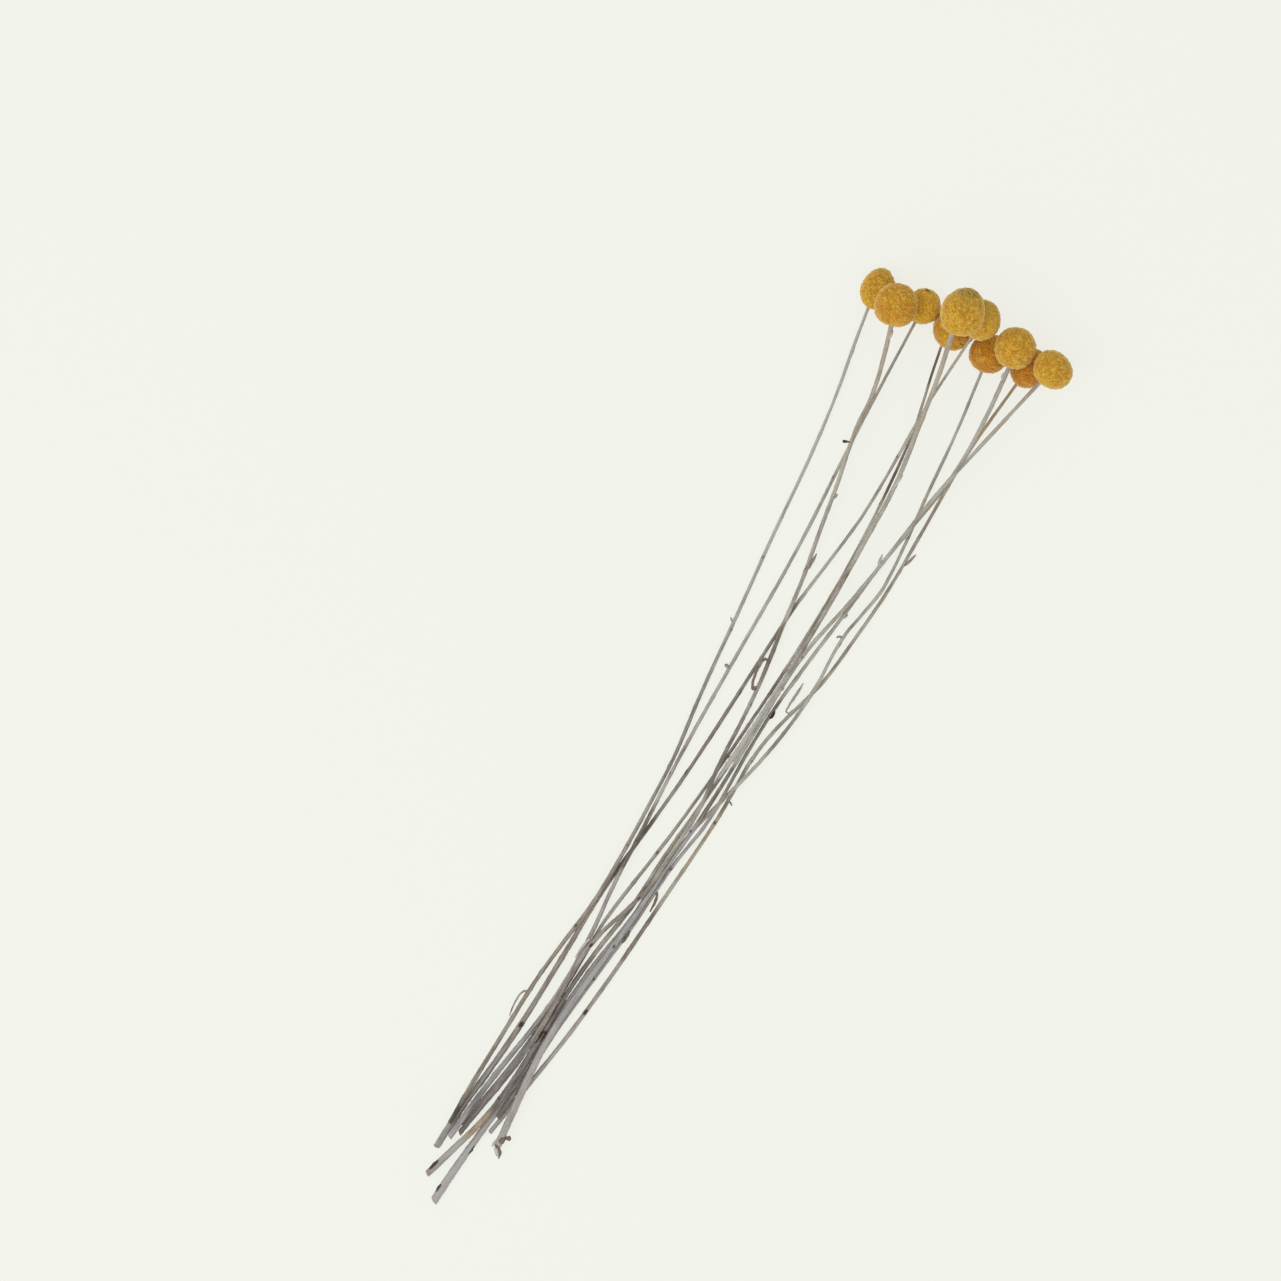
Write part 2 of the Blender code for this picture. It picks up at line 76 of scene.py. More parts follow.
# How each head looks: its share of bright gold, which is painted light that lightens a head lying in its
# neighbours' shade; its share of orange florets, and of olive ones, which near the tip are partly
# painted shade; how much narrower its tip is than its stem end; and how far a grey-green cap of closed
# florets reaches down from its tip
HeadLook = namedtuple("HeadLook", "fresh orange olive taper cap")
HEADS = {
    "head_01": HeadLook(0.0, 0.15, 0.25, 0.10, 0.0),
    "head_02": HeadLook(0.0, 0.50, 0.05, 0.03, 0.0),
    "head_03": HeadLook(0.6, 0.00, 0.00, 0.03, 0.0),
    "head_04": HeadLook(0.0, 0.00, 0.75, 0.11, 0.5),
    "head_05": HeadLook(0.0, 0.60, 0.10, 0.02, 0.0),
    "head_06": HeadLook(0.5, 0.00, 0.70, 0.05, 0.0),
    "head_07": HeadLook(0.0, 0.85, 0.00, 0.02, 0.0),
    "head_08": HeadLook(0.0, 0.20, 0.20, 0.02, 0.0),
    "head_09": HeadLook(0.0, 0.95, 0.00, 0.04, 0.0),
    "head_10": HeadLook(0.0, 0.25, 0.10, 0.00, 0.0),
}
# Withered florets lie in these directions from the middle of their head
WITHERED = {
    "head_03": [(-0.26, 0.88, 0.45)],
    "head_04": [(0.15, 0.97, 0.20)],
}
WITHERED_REACH = 1.5 * MM
WITHERED_HEIGHT = 0.6  # the share of its height that a withered floret keeps

# How much florets differ where the unevenness is 1
FLORET_SHIFT = 0.2  # of their width, out of place
FLORET_LEAN = 0.45
WIDER = 0.5  # of their width, and as much narrower
LOWER = 0.45  # of their height
HIGHER = 0.35

# How a head is built round its florets
STEM_GAP = 0.45  # of a floret's width, between the stem and the nearest florets
CORE_DEPTH = 0.52  # of a floret's height, from the florets' tops down to the core
LUMP_LENGTH = 12 * MM
CLUMP_LENGTH = 3.2 * MM
SOFTNESS = 0.3 * MM  # of the edge of a flat that the surface below has pressed
CLEARANCE = 0.02 * MM  # of stems and leaf scraps above that surface

# Where each kind of piece starts its random draws
HEAD_SEED = 100
STEM_SEED = 200
LEAF_SEED = 300

# How each stem looks: its tone, and how much pale wool is left on it at its cut end, half way and top
StemLook = namedtuple("StemLook", "tone foot middle top")
STEMS = {
    "stem_01": StemLook("pale", 0.30, 0.55, 0.95),
    "stem_02": StemLook("grey", 0.20, 0.50, 0.75),
    "stem_03": StemLook("grey", 0.70, 0.60, 0.70),
    "stem_04": StemLook("brown", 0.75, 0.55, 0.75),
    # The pale wool at this stem's foot is partly painted light: it lightens a foot lying in other stems'
    # shade
    "stem_05": StemLook("brown", 0.55, 0.55, 0.65),
    "stem_06": StemLook("grey", 0.45, 0.50, 0.70),
    "stem_07": StemLook("pale", 0.90, 0.60, 0.60),
    "stem_08": StemLook("pale", 0.40, 0.55, 0.80),
    "stem_09": StemLook("ochre", 0.80, 0.55, 0.60),
    "stem_10": StemLook("pale", 0.80, 0.55, 0.70),
}

# Dark scars that show: how far from the cut end, the side they face in degrees from the right hand
# over the top, and their length. A short scar is faint, and one as long as FULL_SCAR is black.
Scar = namedtuple("Scar", "along side length")
SCARS = {
    "stem_01": [Scar(122.0, 100, 2.5), Scar(172.0, 90, 2.0), Scar(296.5, 60, 2.0)],
    "stem_02": [Scar(119.5, 80, 3.0), Scar(153.0, 100, 2.5), Scar(270.0, 70, 2.0)],
    "stem_03": [Scar(183.0, 90, 2.0), Scar(399.0, 110, 2.0)],
    "stem_04": [Scar(5.5, 142, 6.0)],
    "stem_05": [Scar(60.0, 90, 3.0), Scar(174.0, 90, 2.5), Scar(236.0, 60, 2.0)],
    "stem_06": [Scar(77.0, 80, 3.5), Scar(234.5, 130, 2.5)],
    "stem_07": [Scar(7.0, 160, 4.5), Scar(33.0, 15, 5.5), Scar(424.0, 90, 2.0)],
    "stem_08": [Scar(88.0, 100, 2.5), Scar(158.0, 80, 2.5)],
    "stem_09": [Scar(79.0, 90, 3.5), Scar(236.0, 60, 2.0)],
    "stem_10": [Scar(120.0, 70, 2.5), Scar(300.0, 90, 2.0)],
}
FULL_SCAR = 4.5

# Stretches of a stem that are bluish, golden or dark: from and to so far from the cut end, in
# millimetres, and how much of each. Bluish and a little golden together make a rosy grey.
Patch = namedtuple("Patch", "start end cool warm dark")
PATCHES = {
    "stem_01": [
        Patch(-9, 15, 0.0, 0.2, 1.0), Patch(15, 180, 0.0, 0.2, 0.2), Patch(200, 290, 0.3, 0.0, 0.3),
        Patch(290, 490, 0.2, 0.0, 0.0)],
    "stem_02": [
        Patch(-9, 60, 0.7, 0.15, 0.5), Patch(60, 165, 0.5, 0.25, 0.2), Patch(220, 265, 0.2, 0.1, 0.3),
        Patch(285, 315, 0.0, 0.1, 0.3), Patch(400, 480, 0.0, 0.3, 0.0)],
    "stem_03": [
        Patch(-9, 15, 0.8, 0.0, 0.0), Patch(15, 80, 0.8, 0.0, 0.25), Patch(80, 165, 0.7, 0.15, 0.05),
        Patch(165, 205, 0.2, 0.1, 0.6)],
    "stem_04": [
        Patch(-9, 3, 0.3, 0.3, 0.3), Patch(4, 24, 0.9, 0.2, 0.0), Patch(27, 44, 0.0, 0.6, 0.1),
        Patch(44, 140, 0.6, 0.1, 0.5), Patch(455, 525, 0.0, 0.3, 0.0)],
    "stem_05": [
        Patch(-9, 140, 0.6, 0.1, 0.0), Patch(225, 290, 0.3, 0.0, 0.3), Patch(395, 425, 0.0, 0.1, 0.5),
        Patch(455, 475, 0.0, 0.1, 0.6)],
    "stem_06": [
        Patch(-9, 60, 0.7, 0.1, 0.1), Patch(60, 165, 0.5, 0.25, 0.15), Patch(165, 205, 0.1, 0.0, 0.6),
        Patch(205, 345, 0.1, 0.1, 0.25)],
    "stem_07": [Patch(-9, 220, 0.8, 0.0, 0.0), Patch(290, 318, 0.0, 0.0, 0.25)],
    "stem_08": [
        Patch(-9, 48, 0.6, 0.2, 0.5), Patch(48, 200, 0.7, 0.1, 0.0), Patch(205, 265, 0.3, 0.0, 0.4),
        Patch(380, 410, 0.0, 0.4, 0.2), Patch(455, 485, 0.5, 0.1, 0.0)],
    "stem_09": [
        Patch(-9, 60, 0.6, 0.1, 0.0), Patch(60, 110, 0.5, 0.25, 0.1), Patch(110, 145, 0.4, 0.3, 0.4),
        Patch(170, 205, 0.0, 0.4, 0.0), Patch(440, 490, 0.0, 1.0, 0.0)],
    "stem_10": [
        Patch(-9, 45, 0.9, 0.2, 0.0), Patch(45, 200, 0.8, 0.0, 0.0), Patch(200, 232, 0.0, 0.1, 0.5),
        Patch(445, 500, 0.0, 0.2, 0.0)],
}
PATCH_FADE = 7.0

# How a stem departs from a plain round tube, mostly in shares of its radius
CUT_SLANT = (0.2, 0.6)  # the least and the most
SLANT_REACH = 6.0
PITH_DEPTH = 0.5 * MM
BARK = 0.99  # what lies farther out than this is on the bark, and not on the cut
TWIST = (0.5, 1.5)  # the least and the most that the ridges turn, in radians
TWIST_LENGTH = 100 * MM  # in which they do
THICKENING = 0.05
THICKENING_LENGTH = 23 * MM
ROUGHNESS = 0.04
NODE_REACH = 1.6  # in millimetres, along the stem
NODE_SWELLING = 0.10
SCAR_SWELLING = 0.16  # is added to that on the side of the scar
SCAR_DEPTH = 0.10
PAST_END = 10.0  # in millimetres, how far a stem's first and last knots lie past its ends
WOOL_CHANGE = 0.15  # along the stem
WOOL_LENGTH = 31 * MM
GRAIN_SHIFT = 0.7  # in metres, so that no stem has the streaks of the one before

# How a leaf scrap departs from a smooth one
THINNEST = 0.1 * MM
UNEVEN_EDGE = 0.18  # of its width
UNEVEN_LENGTH = 3 * MM
TIP_LENGTH = 1.2 * MM
TIP_DARK = 0.2

# The floor, the large light and the camera, in metres
FLOOR_HALF = 3.0
FLOOR_DROP = 0.1 * MM
KEY_WIDTH = 1.6
KEY_PLACE = (-0.5, -0.6, 1.5)
FARTHEST_SEEN = 100.0

# What grows on a stem, and what is torn at the foot of one: how far from the cut end, how thick it is
# against its width, how far its rims fold up, its pale wool and its dark, and its points as (across,
# along, up, half width) in millimetres from the stem's middle line there
Growth = namedtuple("Growth", "along flat fold wool dark points")
GROWTHS = {
    "stem_01": [
        Growth(300.5, 0.9, 0.0, 0.7, 0.2, [
            (0.0, -0.4, 0.0, 0.6), (-1.5, 0.4, 0.3, 0.6), (-2.7, 1.6, 0.5, 0.35)]),
        Growth(78.5, 0.45, 0.3, 0.6, 0.3, [
            (0.0, -0.8, 0.2, 0.6), (-1.5, 1.0, 0.4, 0.55), (-2.8, -1.0, 0.5, 0.5),
            (-3.3, -5.0, 0.5, 0.5), (-3.1, -9.5, 0.5, 0.45), (-2.3, -14.5, 0.5, 0.3)]),
    ],
    "stem_02": [
        Growth(473.5, 0.5, 0.2, 0.9, 0.0, [
            (0.2, 2.6, 0.2, 0.5), (0.8, 0.6, 0.6, 0.9), (1.5, -2.6, 0.7, 0.3)]),
        Growth(414.7, 0.9, 0.0, 0.2, 0.6, [
            (0.0, 0.2, 0.0, 0.6), (-1.8, -0.6, 0.3, 0.5), (-3.3, -1.2, 0.3, 0.85),
            (-4.4, -1.6, 0.2, 0.7)]),
        Growth(385.5, 0.6, 0.2, 0.6, 0.3, [
            (0.0, -1.8, 0.0, 0.7), (0.9, 0.3, 0.5, 0.9), (1.5, 2.4, 0.7, 0.4)]),
        Growth(349.5, 0.5, 0.3, 0.4, 0.3, [
            (0.0, -6.0, 0.2, 0.6), (1.0, -2.5, 0.7, 0.9), (1.4, 2.0, 0.9, 0.8), (1.2, 6.0, 0.9, 0.3)]),
        Growth(279.5, 0.45, 0.3, 0.4, 0.4, [
            (0.0, 0.4, 0.4, 0.7), (-1.9, -1.6, 1.2, 1.0), (-3.3, 0.2, 1.7, 0.8), (-4.4, 4.0, 2.0, 0.75),
            (-5.0, 8.5, 2.1, 0.8), (-4.9, 12.4, 2.0, 0.8), (-4.0, 14.8, 1.8, 0.8),
            (-2.6, 14.8, 1.6, 0.6), (-1.6, 12.5, 1.5, 0.3)]),
    ],
    "stem_03": [
        Growth(285.5, 0.9, 0.0, 0.5, 0.3, [
            (0.3, -0.6, 0.0, 1.1), (-1.6, 0.1, 0.4, 1.0), (-3.1, 0.3, 0.4, 0.9)]),
        Growth(124.0, 0.3, 0.3, 1.0, 0.0, [
            (-1.4, -10.0, 0.9, 0.3), (-1.1, -5.0, 1.2, 0.5), (-0.4, 0.0, 1.5, 0.65),
            (0.5, 2.5, 1.6, 0.4)]),
    ],
    "stem_04": [
        Growth(91.0, 0.8, 0.0, 0.0, 1.0, [
            (-0.8, -5.5, 0.9, 0.35), (-0.6, 0.0, 1.2, 0.5), (-0.2, 3.4, 1.3, 0.55),
            (0.7, 3.8, 1.3, 0.5), (1.0, 1.0, 1.1, 0.4), (0.8, -2.0, 1.0, 0.2)]),
        Growth(279.0, 0.12, 0.1, 0.95, 0.0, [
            (-2.8, -28.0, 1.0, 0.4), (-1.4, -15.0, 1.3, 1.5), (0.2, 0.0, 1.4, 1.8),
            (1.4, 20.0, 1.5, 1.7), (2.2, 38.0, 1.5, 1.6), (2.4, 44.0, 1.4, 0.5)]),
        Growth(436.0, 0.4, 0.2, 1.0, 0.0, [
            (0.2, -4.0, 0.7, 0.3), (0.8, 0.0, 1.0, 0.6), (1.2, 4.0, 1.1, 0.3)]),
    ],
    "stem_07": [
        Growth(361.0, 0.8, 0.0, 0.5, 0.3, [
            (0.0, 0.2, 0.0, 0.7), (-2.0, 0.3, 0.3, 0.6), (-3.1, -1.1, 0.3, 0.4)]),
    ],
    "stem_08": [
        Growth(467.0, 0.5, 0.3, 1.0, 0.0, [
            (0.0, -2.0, 0.2, 0.5), (-1.3, 0.0, 0.6, 0.6), (-1.8, 2.0, 0.8, 0.3)]),
        Growth(369.0, 0.5, 0.3, 1.0, 0.1, [
            (-0.2, -2.0, 0.6, 0.5), (0.6, 0.0, 1.1, 0.8), (1.2, 1.8, 1.2, 0.5), (0.7, 3.2, 1.2, 0.3)]),
        Growth(317.5, 0.6, 0.2, 0.6, 0.2, [
            (0.0, -1.0, 0.0, 0.7), (1.1, 0.4, 0.4, 0.9), (1.5, 2.0, 0.5, 0.4)]),
        Growth(254.0, 0.8, 0.0, 0.0, 1.0, [
            (0.3, -2.4, 0.5, 0.5), (1.0, -0.8, 0.9, 0.8), (1.1, 1.4, 1.0, 0.7), (0.7, 3.0, 0.8, 0.3)]),
        Growth(144.0, 0.5, 0.3, 0.3, 0.4, [
            (0.0, 1.0, 0.2, 0.5), (1.8, -1.5, 1.0, 0.7), (2.7, -6.0, 1.2, 0.7), (2.9, -11.0, 1.1, 0.3)]),
        Growth(115.0, 0.6, 0.3, 0.3, 0.4, [
            (0.1, -3.5, 0.5, 0.4), (0.6, -1.0, 0.9, 0.8), (0.9, 2.0, 1.0, 0.7), (0.8, 4.5, 0.9, 0.3)]),
    ],
    "stem_09": [
        Growth(365.0, 0.5, 0.3, 0.5, 0.3, [
            (0.0, -1.2, 0.0, 0.7), (1.4, 1.5, 0.5, 0.8), (2.2, 4.5, 0.6, 0.7), (3.0, 7.5, 0.7, 0.3)]),
        Growth(272.5, 0.4, 0.3, 0.6, 0.1, [
            (0.0, 0.4, 0.4, 0.5), (-1.5, -2.6, 0.6, 0.42), (-3.0, -5.2, 0.7, 0.4),
            (-4.0, -5.2, 0.8, 0.4), (-4.5, -2.0, 0.9, 0.55), (-4.3, 3.0, 1.0, 0.8),
            (-4.0, 8.0, 1.0, 0.7), (-3.9, 12.5, 1.0, 0.25)]),
        Growth(211.5, 0.9, 0.0, 0.3, 0.4, [
            (0.0, 0.3, 0.0, 0.5), (1.7, 0.0, 0.3, 0.4), (2.9, -0.9, 0.4, 0.3)]),
    ],
    "stem_10": [
        Growth(362.0, 0.6, 0.2, 0.8, 0.1, [
            (0.0, -1.6, 0.2, 0.8), (-1.2, 1.6, 0.6, 0.9), (-1.9, 5.6, 0.8, 0.3)]),
        Growth(0.0, 0.8, 0.0, 0.9, 0.0, [
            (-0.9, 4.0, 0.0, 1.2), (-1.7, 0.4, 0.0, 0.95), (-2.5, -2.4, 0.0, 0.45)]),
        Growth(0.0, 0.9, 0.0, 0.2, 0.2, [
            (0.1, 0.8, 0.6, 1.2), (0.5, 3.0, 1.1, 2.0), (0.9, 5.2, 0.9, 1.5)]),
        Growth(0.0, 1.0, 0.0, 0.25, 0.35, [
            (1.4, 4.9, 0.8, 0.9), (2.6, 5.4, 0.9, 1.0), (3.6, 5.9, 0.9, 1.3), (4.4, 6.2, 0.9, 0.9)]),
        Growth(0.0, 0.5, 0.4, 0.1, 0.35, [
            (-0.6, 1.2, 0.3, 0.7), (-0.3, -0.7, 0.6, 0.9), (1.6, -1.5, 0.9, 0.8),
            (3.3, -3.2, 0.8, 0.65), (3.9, -6.4, 0.3, 0.25)]),
        Growth(0.0, 0.7, 0.0, 1.0, 0.0, [
            (-0.2, 0.4, -0.2, 1.2), (0.4, -2.2, -0.2, 1.4), (1.9, -4.0, -0.3, 1.2),
            (3.2, -5.6, -0.5, 0.4)]),
    ],
}


def tint(red, green, blue):
    """A colour given in parts of 255, in the linear values that shaders use."""
    parts = np.array([red, green, blue]) / 255
    return tuple(np.where(parts <= 0.04045, parts / 12.92, ((parts + 0.055) / 1.055) ** 2.4))


def colour(name, description, default):
    """A colour that the user can change."""
    return FloatVectorProperty(
        name=name, description=description, subtype="COLOR", size=3, min=0.0, max=1.0,
        default=tint(*default))


def length(name, description, default):
    """A length that the user can change."""
    return FloatProperty(name=name, description=description, default=default, min=0.0, unit="LENGTH")


def share(name, description, default):
    """A share that the user can change."""
    return FloatProperty(
        name=name, description=description, default=default, min=0.0, max=1.0, subtype="FACTOR")


class HeadSettings(bpy.types.PropertyGroup):
    """Sizes and colours of the golden heads."""

    floret_width: length("Floret width", "From one floret to the next", 1.18 * MM)
    floret_height: length("Floret height", "How far a floret stands out of the core", 0.85 * MM)
    uneven: share("Unevenness", "How much the florets differ in size and lean", 0.45)
    lumps: length("Lumps", "How far the whole head is out of round", 0.25 * MM)
    clumps: length("Clumps", "How far neighbouring florets stand out together", 0.16 * MM)
    gold: colour("Gold", "Most florets", (199, 148, 32))
    # Bright is also painted light: it lightens the stem end of every head, and whole heads that lie in
    # shade
    bright: colour("Bright", "The freshest florets", (226, 178, 50))
    orange: colour("Orange", "The deeper florets of the orange heads", (194, 121, 12))
    dull: colour("Dull", "The most faded florets", (160, 112, 30))
    # Olive is partly painted shade: near the tip it dulls each head on the side away from the light
    olive: colour("Olive", "The duller florets near the tip", (170, 142, 54))
    # Pale is also a painted sheen round the outline of each head
    pale: colour("Pale", "The dry rims of the florets and of a whole head", (228, 198, 128))
    # Depth is painted shade: it darkens each floret towards its foot, and the core, in the gaps between
    # florets
    depth: colour("Depth", "Between the florets", (184, 128, 34))
    cap: colour("Cap", "Closed florets at a tip", (92, 86, 58))
    withered: colour("Withered", "Dead florets", (58, 50, 40))


class StemSettings(bpy.types.PropertyGroup):
    """Sizes and colours of the stems."""

    sides: IntProperty(name="Sides", description="Round a stem", default=18, min=6, max=48)
    step: length("Step", "From one row of a stem to the next", 1.0 * MM)
    ridges: IntProperty(name="Ridges", description="Round a stem", default=7, min=3, max=12)
    ridge_depth: share("Ridge depth", "Against the stem's radius", 0.07)
    node_spacing: length("Node spacing", "Between two leaf scars", 46.0 * MM)
    kink: length("Kink", "How far a stem jogs at a node", 0.16 * MM)
    grey: colour("Grey", "The bark of the grey stems", (148, 138, 125))
    pale: colour("Pale", "The bark of the pale stems", (158, 151, 137))
    brown: colour("Brown", "The bark of the brown stems", (142, 128, 113))
    ochre: colour("Ochre", "The bark of the ochre stem", (148, 135, 115))
    cool: colour("Cool", "The bluish stretches of bark", (166, 163, 166))
    warm: colour("Warm", "The golden stretches of bark", (178, 150, 114))
    dark: colour("Dark", "The dark stretches of bark", (88, 80, 68))
    wool: colour("Wool", "The felt left on the stems", (192, 188, 175))
    scar: colour("Scar", "Leaf scars", (62, 50, 43))
    pith: colour("Pith", "The inside of a cut end", (176, 150, 120))


class LeafSettings(bpy.types.PropertyGroup):
    """Sizes and colours of what grows on the stems."""

    sides: IntProperty(name="Sides", description="Round a leaf scrap", default=12, min=6, max=32)
    step: length("Step", "From one row of a leaf scrap to the next", 0.3 * MM)
    husk: colour("Husk", "Dried leaves and bracts", (140, 120, 104))
    fibre: colour("Fibre", "Between the fibres", (84, 76, 66))
    wool: colour("Wool", "The felt left on them", (194, 190, 181))
    torn: colour("Torn", "Withered tips and torn bark", (58, 46, 39))


class StageSettings(bpy.types.PropertyGroup):
    """The floor, the light and the camera."""

    seen_width: length("Seen width", "Across the picture, at the height of the heads", 667.8 * MM)
    seen_height: length("Seen height", "Where that width is measured", 20.0 * MM)
    across: FloatProperty(
        name="Across", description="Middle of the picture, across the bunch", default=-66.66 * MM,
        unit="LENGTH")
    along: FloatProperty(
        name="Along", description="Middle of the picture, along the bunch", default=31.52 * MM,
        unit="LENGTH")
    turn: FloatProperty(
        name="Turn", description="How far the bunch leans in the picture",
        default=math.radians(29.945), subtype="ANGLE")
    lens: FloatProperty(name="Lens", description="Focal length in millimetres", default=400.0, min=10.0)
    floor: colour("Floor", "The surface under the bunch", (242, 243, 235))
    glow: share("Glow", "The share of the floor's brightness that is its own, as on a light table", 0.85)
    key: FloatProperty(name="Key", description="Power of the large light", default=9.0, subtype="POWER")
    fill: FloatProperty(name="Fill", description="Light from all round", default=0.75, min=0.0)


class Socket:
    """An output of a shader node. Sums with it add Math nodes."""

    def __init__(self, finish, link):
        self.finish = finish
        self.link = link

    def math(self, operation, *values):
        """Adds a Math node that works on the values."""
        return self.finish.node("ShaderNodeMath", {"operation": operation}, dict(enumerate(values)))

    def __add__(self, other):
        return self.math("ADD", self, other)

    def __sub__(self, other):
        return self.math("SUBTRACT", self, other)

    def __rsub__(self, other):
        return self.math("SUBTRACT", other, self)

    def __mul__(self, other):
        return self.math("MULTIPLY", self, other)

    __radd__ = __add__
    __rmul__ = __mul__


class Finish:
    """A material, built from its nodes."""

    def __init__(self, name, constants):
        self.material = bpy.data.materials.new(name)
        self.material.use_nodes = True
        self.tree = self.material.node_tree
        self.shader = self.tree.nodes["Principled BSDF"]
        for socket, value in constants.items():
            self.shader.inputs[socket].default_value = value

    def node(self, kind, settings, sockets, output=0):
        """Adds a node: its settings first, then the values or links of its sockets."""
        made = self.tree.nodes.new(kind)
        for name, value in settings.items():
            setattr(made, name, value)
        for name, value in sockets.items():
            if isinstance(value, Socket):
                self.tree.links.new(value.link, made.inputs[name])
            else:
                made.inputs[name].default_value = value
        return Socket(self, made.outputs[output])

    def feed(self, socket, value):
        """Links a value to a socket of the shader."""
        self.tree.links.new(value.link, self.shader.inputs[socket])

    def vector(self, name):
        """A vector attribute of the piece."""
        return self.node("ShaderNodeAttribute", {"attribute_name": name}, {}, "Vector")

    def parts(self, name):
        """The three parts of a vector attribute of the piece."""
        vector = self.vector(name)
        return [self.node("ShaderNodeSeparateXYZ", {}, {0: vector}, axis) for axis in range(3)]

    def place(self):
        """The place of each point in the piece's own coordinates."""
        return self.node("ShaderNodeTexCoord", {}, {}, "Object")

    def scaled(self, vector, scale):
        """A vector or a colour, with each of its parts times a number of its own."""
        return self.node("ShaderNodeVectorMath", {"operation": "MULTIPLY"}, {0: vector, 1: scale})

    def noise(self, vector, size, detail=2.0, roughness=0.5):
        """Noise whose blotches are about the given size across."""
        sockets = {"Vector": vector, "Scale": 1 / size, "Detail": detail, "Roughness": roughness}
        return self.node("ShaderNodeTexNoise", {}, sockets)

    def fade(self, value, start, end):
        """Goes from 0 where the value is start to 1 where it is end."""
        sockets = {"Value": value, "From Min": start, "From Max": end}
        return self.node("ShaderNodeMapRange", {"clamp": True}, sockets)

    def mix(self, factor, first, second):
        """From the first colour at 0 to the second at 1."""
        sockets = {0: factor, 6: self.full(first), 7: self.full(second)}
        return self.node("ShaderNodeMix", {"data_type": "RGBA"}, sockets, 2)

    def full(self, value):
        """A colour with its alpha, or a link as it is."""
        return value if isinstance(value, Socket) else (*value, 1.0)

    def bump(self, height, distance, strength):
        """Gives the surface a fine relief."""
        sockets = {"Height": height, "Distance": distance, "Strength": strength}
        self.feed("Normal", self.node("ShaderNodeBump", {}, sockets))


def floret_finish(name, look, settings):
    """Felted golden florets with pale rims and blotches of orange and olive, and painted light: shade
    between the florets, a brighter stem end and a pale sheen round the outline.
    """
    finish = Finish(f"{name} florets", {
        "Roughness": 0.92, "Specular IOR Level": 0.25, "Sheen Weight": 0.25, "Sheen Roughness": 0.6,
        "Sheen Tint": (1.0, 0.9, 0.62, 1.0)})
    chance, height, tipward = finish.parts("floret")
    place = finish.place()
    blotch = finish.noise(place, 6 * MM)
    fleck = finish.noise(place, 2.2 * MM, 3.0, 0.6)
    grain = finish.noise(place, 0.5 * MM, 3.0, 0.65)
    # Painted light lightens a whole head that lies in its neighbours' shade. Then flecks of brighter and
    # of duller florets, and a stem end painted brighter, as a highlight on the side the light falls on
    gold = finish.mix(look.fresh, settings.gold, settings.bright)
    made = finish.mix(finish.fade(fleck + 0.2 * chance, 0.54, 0.74), gold, settings.bright)
    made = finish.mix(finish.fade(fleck + 0.2 * chance, 0.54, 0.36) * 0.6, made, settings.dull)
    # Painted highlight: the stem end of each head is made brighter, as the light falls on that side
    made = finish.mix(finish.fade(tipward + 0.6 * blotch, 0.2, -0.7) * 0.4, made, settings.bright)
    # Blotches of orange; olive towards the tip, partly the florets' own duller colour and partly painted
    # shade on the side away from the light; and a cap of closed florets there
    orange = finish.fade(blotch + 0.4 * fleck, 0.85 - 0.4 * look.orange, 1.05 - 0.4 * look.orange)
    made = finish.mix(orange * (0.3 + 0.65 * look.orange), made, settings.orange)
    olive = finish.fade(tipward + 0.7 * blotch, 0.55, 1.35) * (0.2 + 0.75 * look.olive)
    made = finish.mix(olive, made, settings.olive)
    if look.cap:
        closed = finish.fade(tipward + 0.25 * blotch, 1.1 - 0.45 * look.cap, 1.2 - 0.35 * look.cap)
        made = finish.mix(closed * finish.fade(chance, 0.5, 0.6), made, settings.cap)
    # Dry florets, painted shade that darkens the florets towards their feet, between them, and their
    # pale rims
    dry = finish.fade(finish.noise(place, 2.4 * MM), 0.6, 0.7) * finish.fade(chance, 0.3, 0.8)
    made = finish.mix(dry * 0.4, made, settings.pale)
    made = finish.mix(finish.fade(height, 0.6, 0.2) * 0.45, made, settings.depth)
    rims = finish.fade(height, 0.7, 0.9) * finish.fade(grain, 0.35, 0.7)
    made = finish.mix(rims * finish.fade(chance, 0.5, 1.0) * 0.5, made, settings.pale)
    # Painted sheen: the colour turns pale where a head is seen from the side, as light catches its short
    # felt
    sockets = {"Blend": 0.5, "Normal": finish.vector("outward")}
    facing = finish.node("ShaderNodeLayerWeight", {}, sockets, "Facing")
    made = finish.mix(finish.fade(facing, 0.5, 0.95) * 0.65, made, settings.pale)
    made = finish.mix(finish.fade(chance, 0.0, -0.5), made, settings.withered)
    finish.feed("Base Color", made)
    finish.bump(grain, 0.12 * MM, 0.5)
    return finish.material


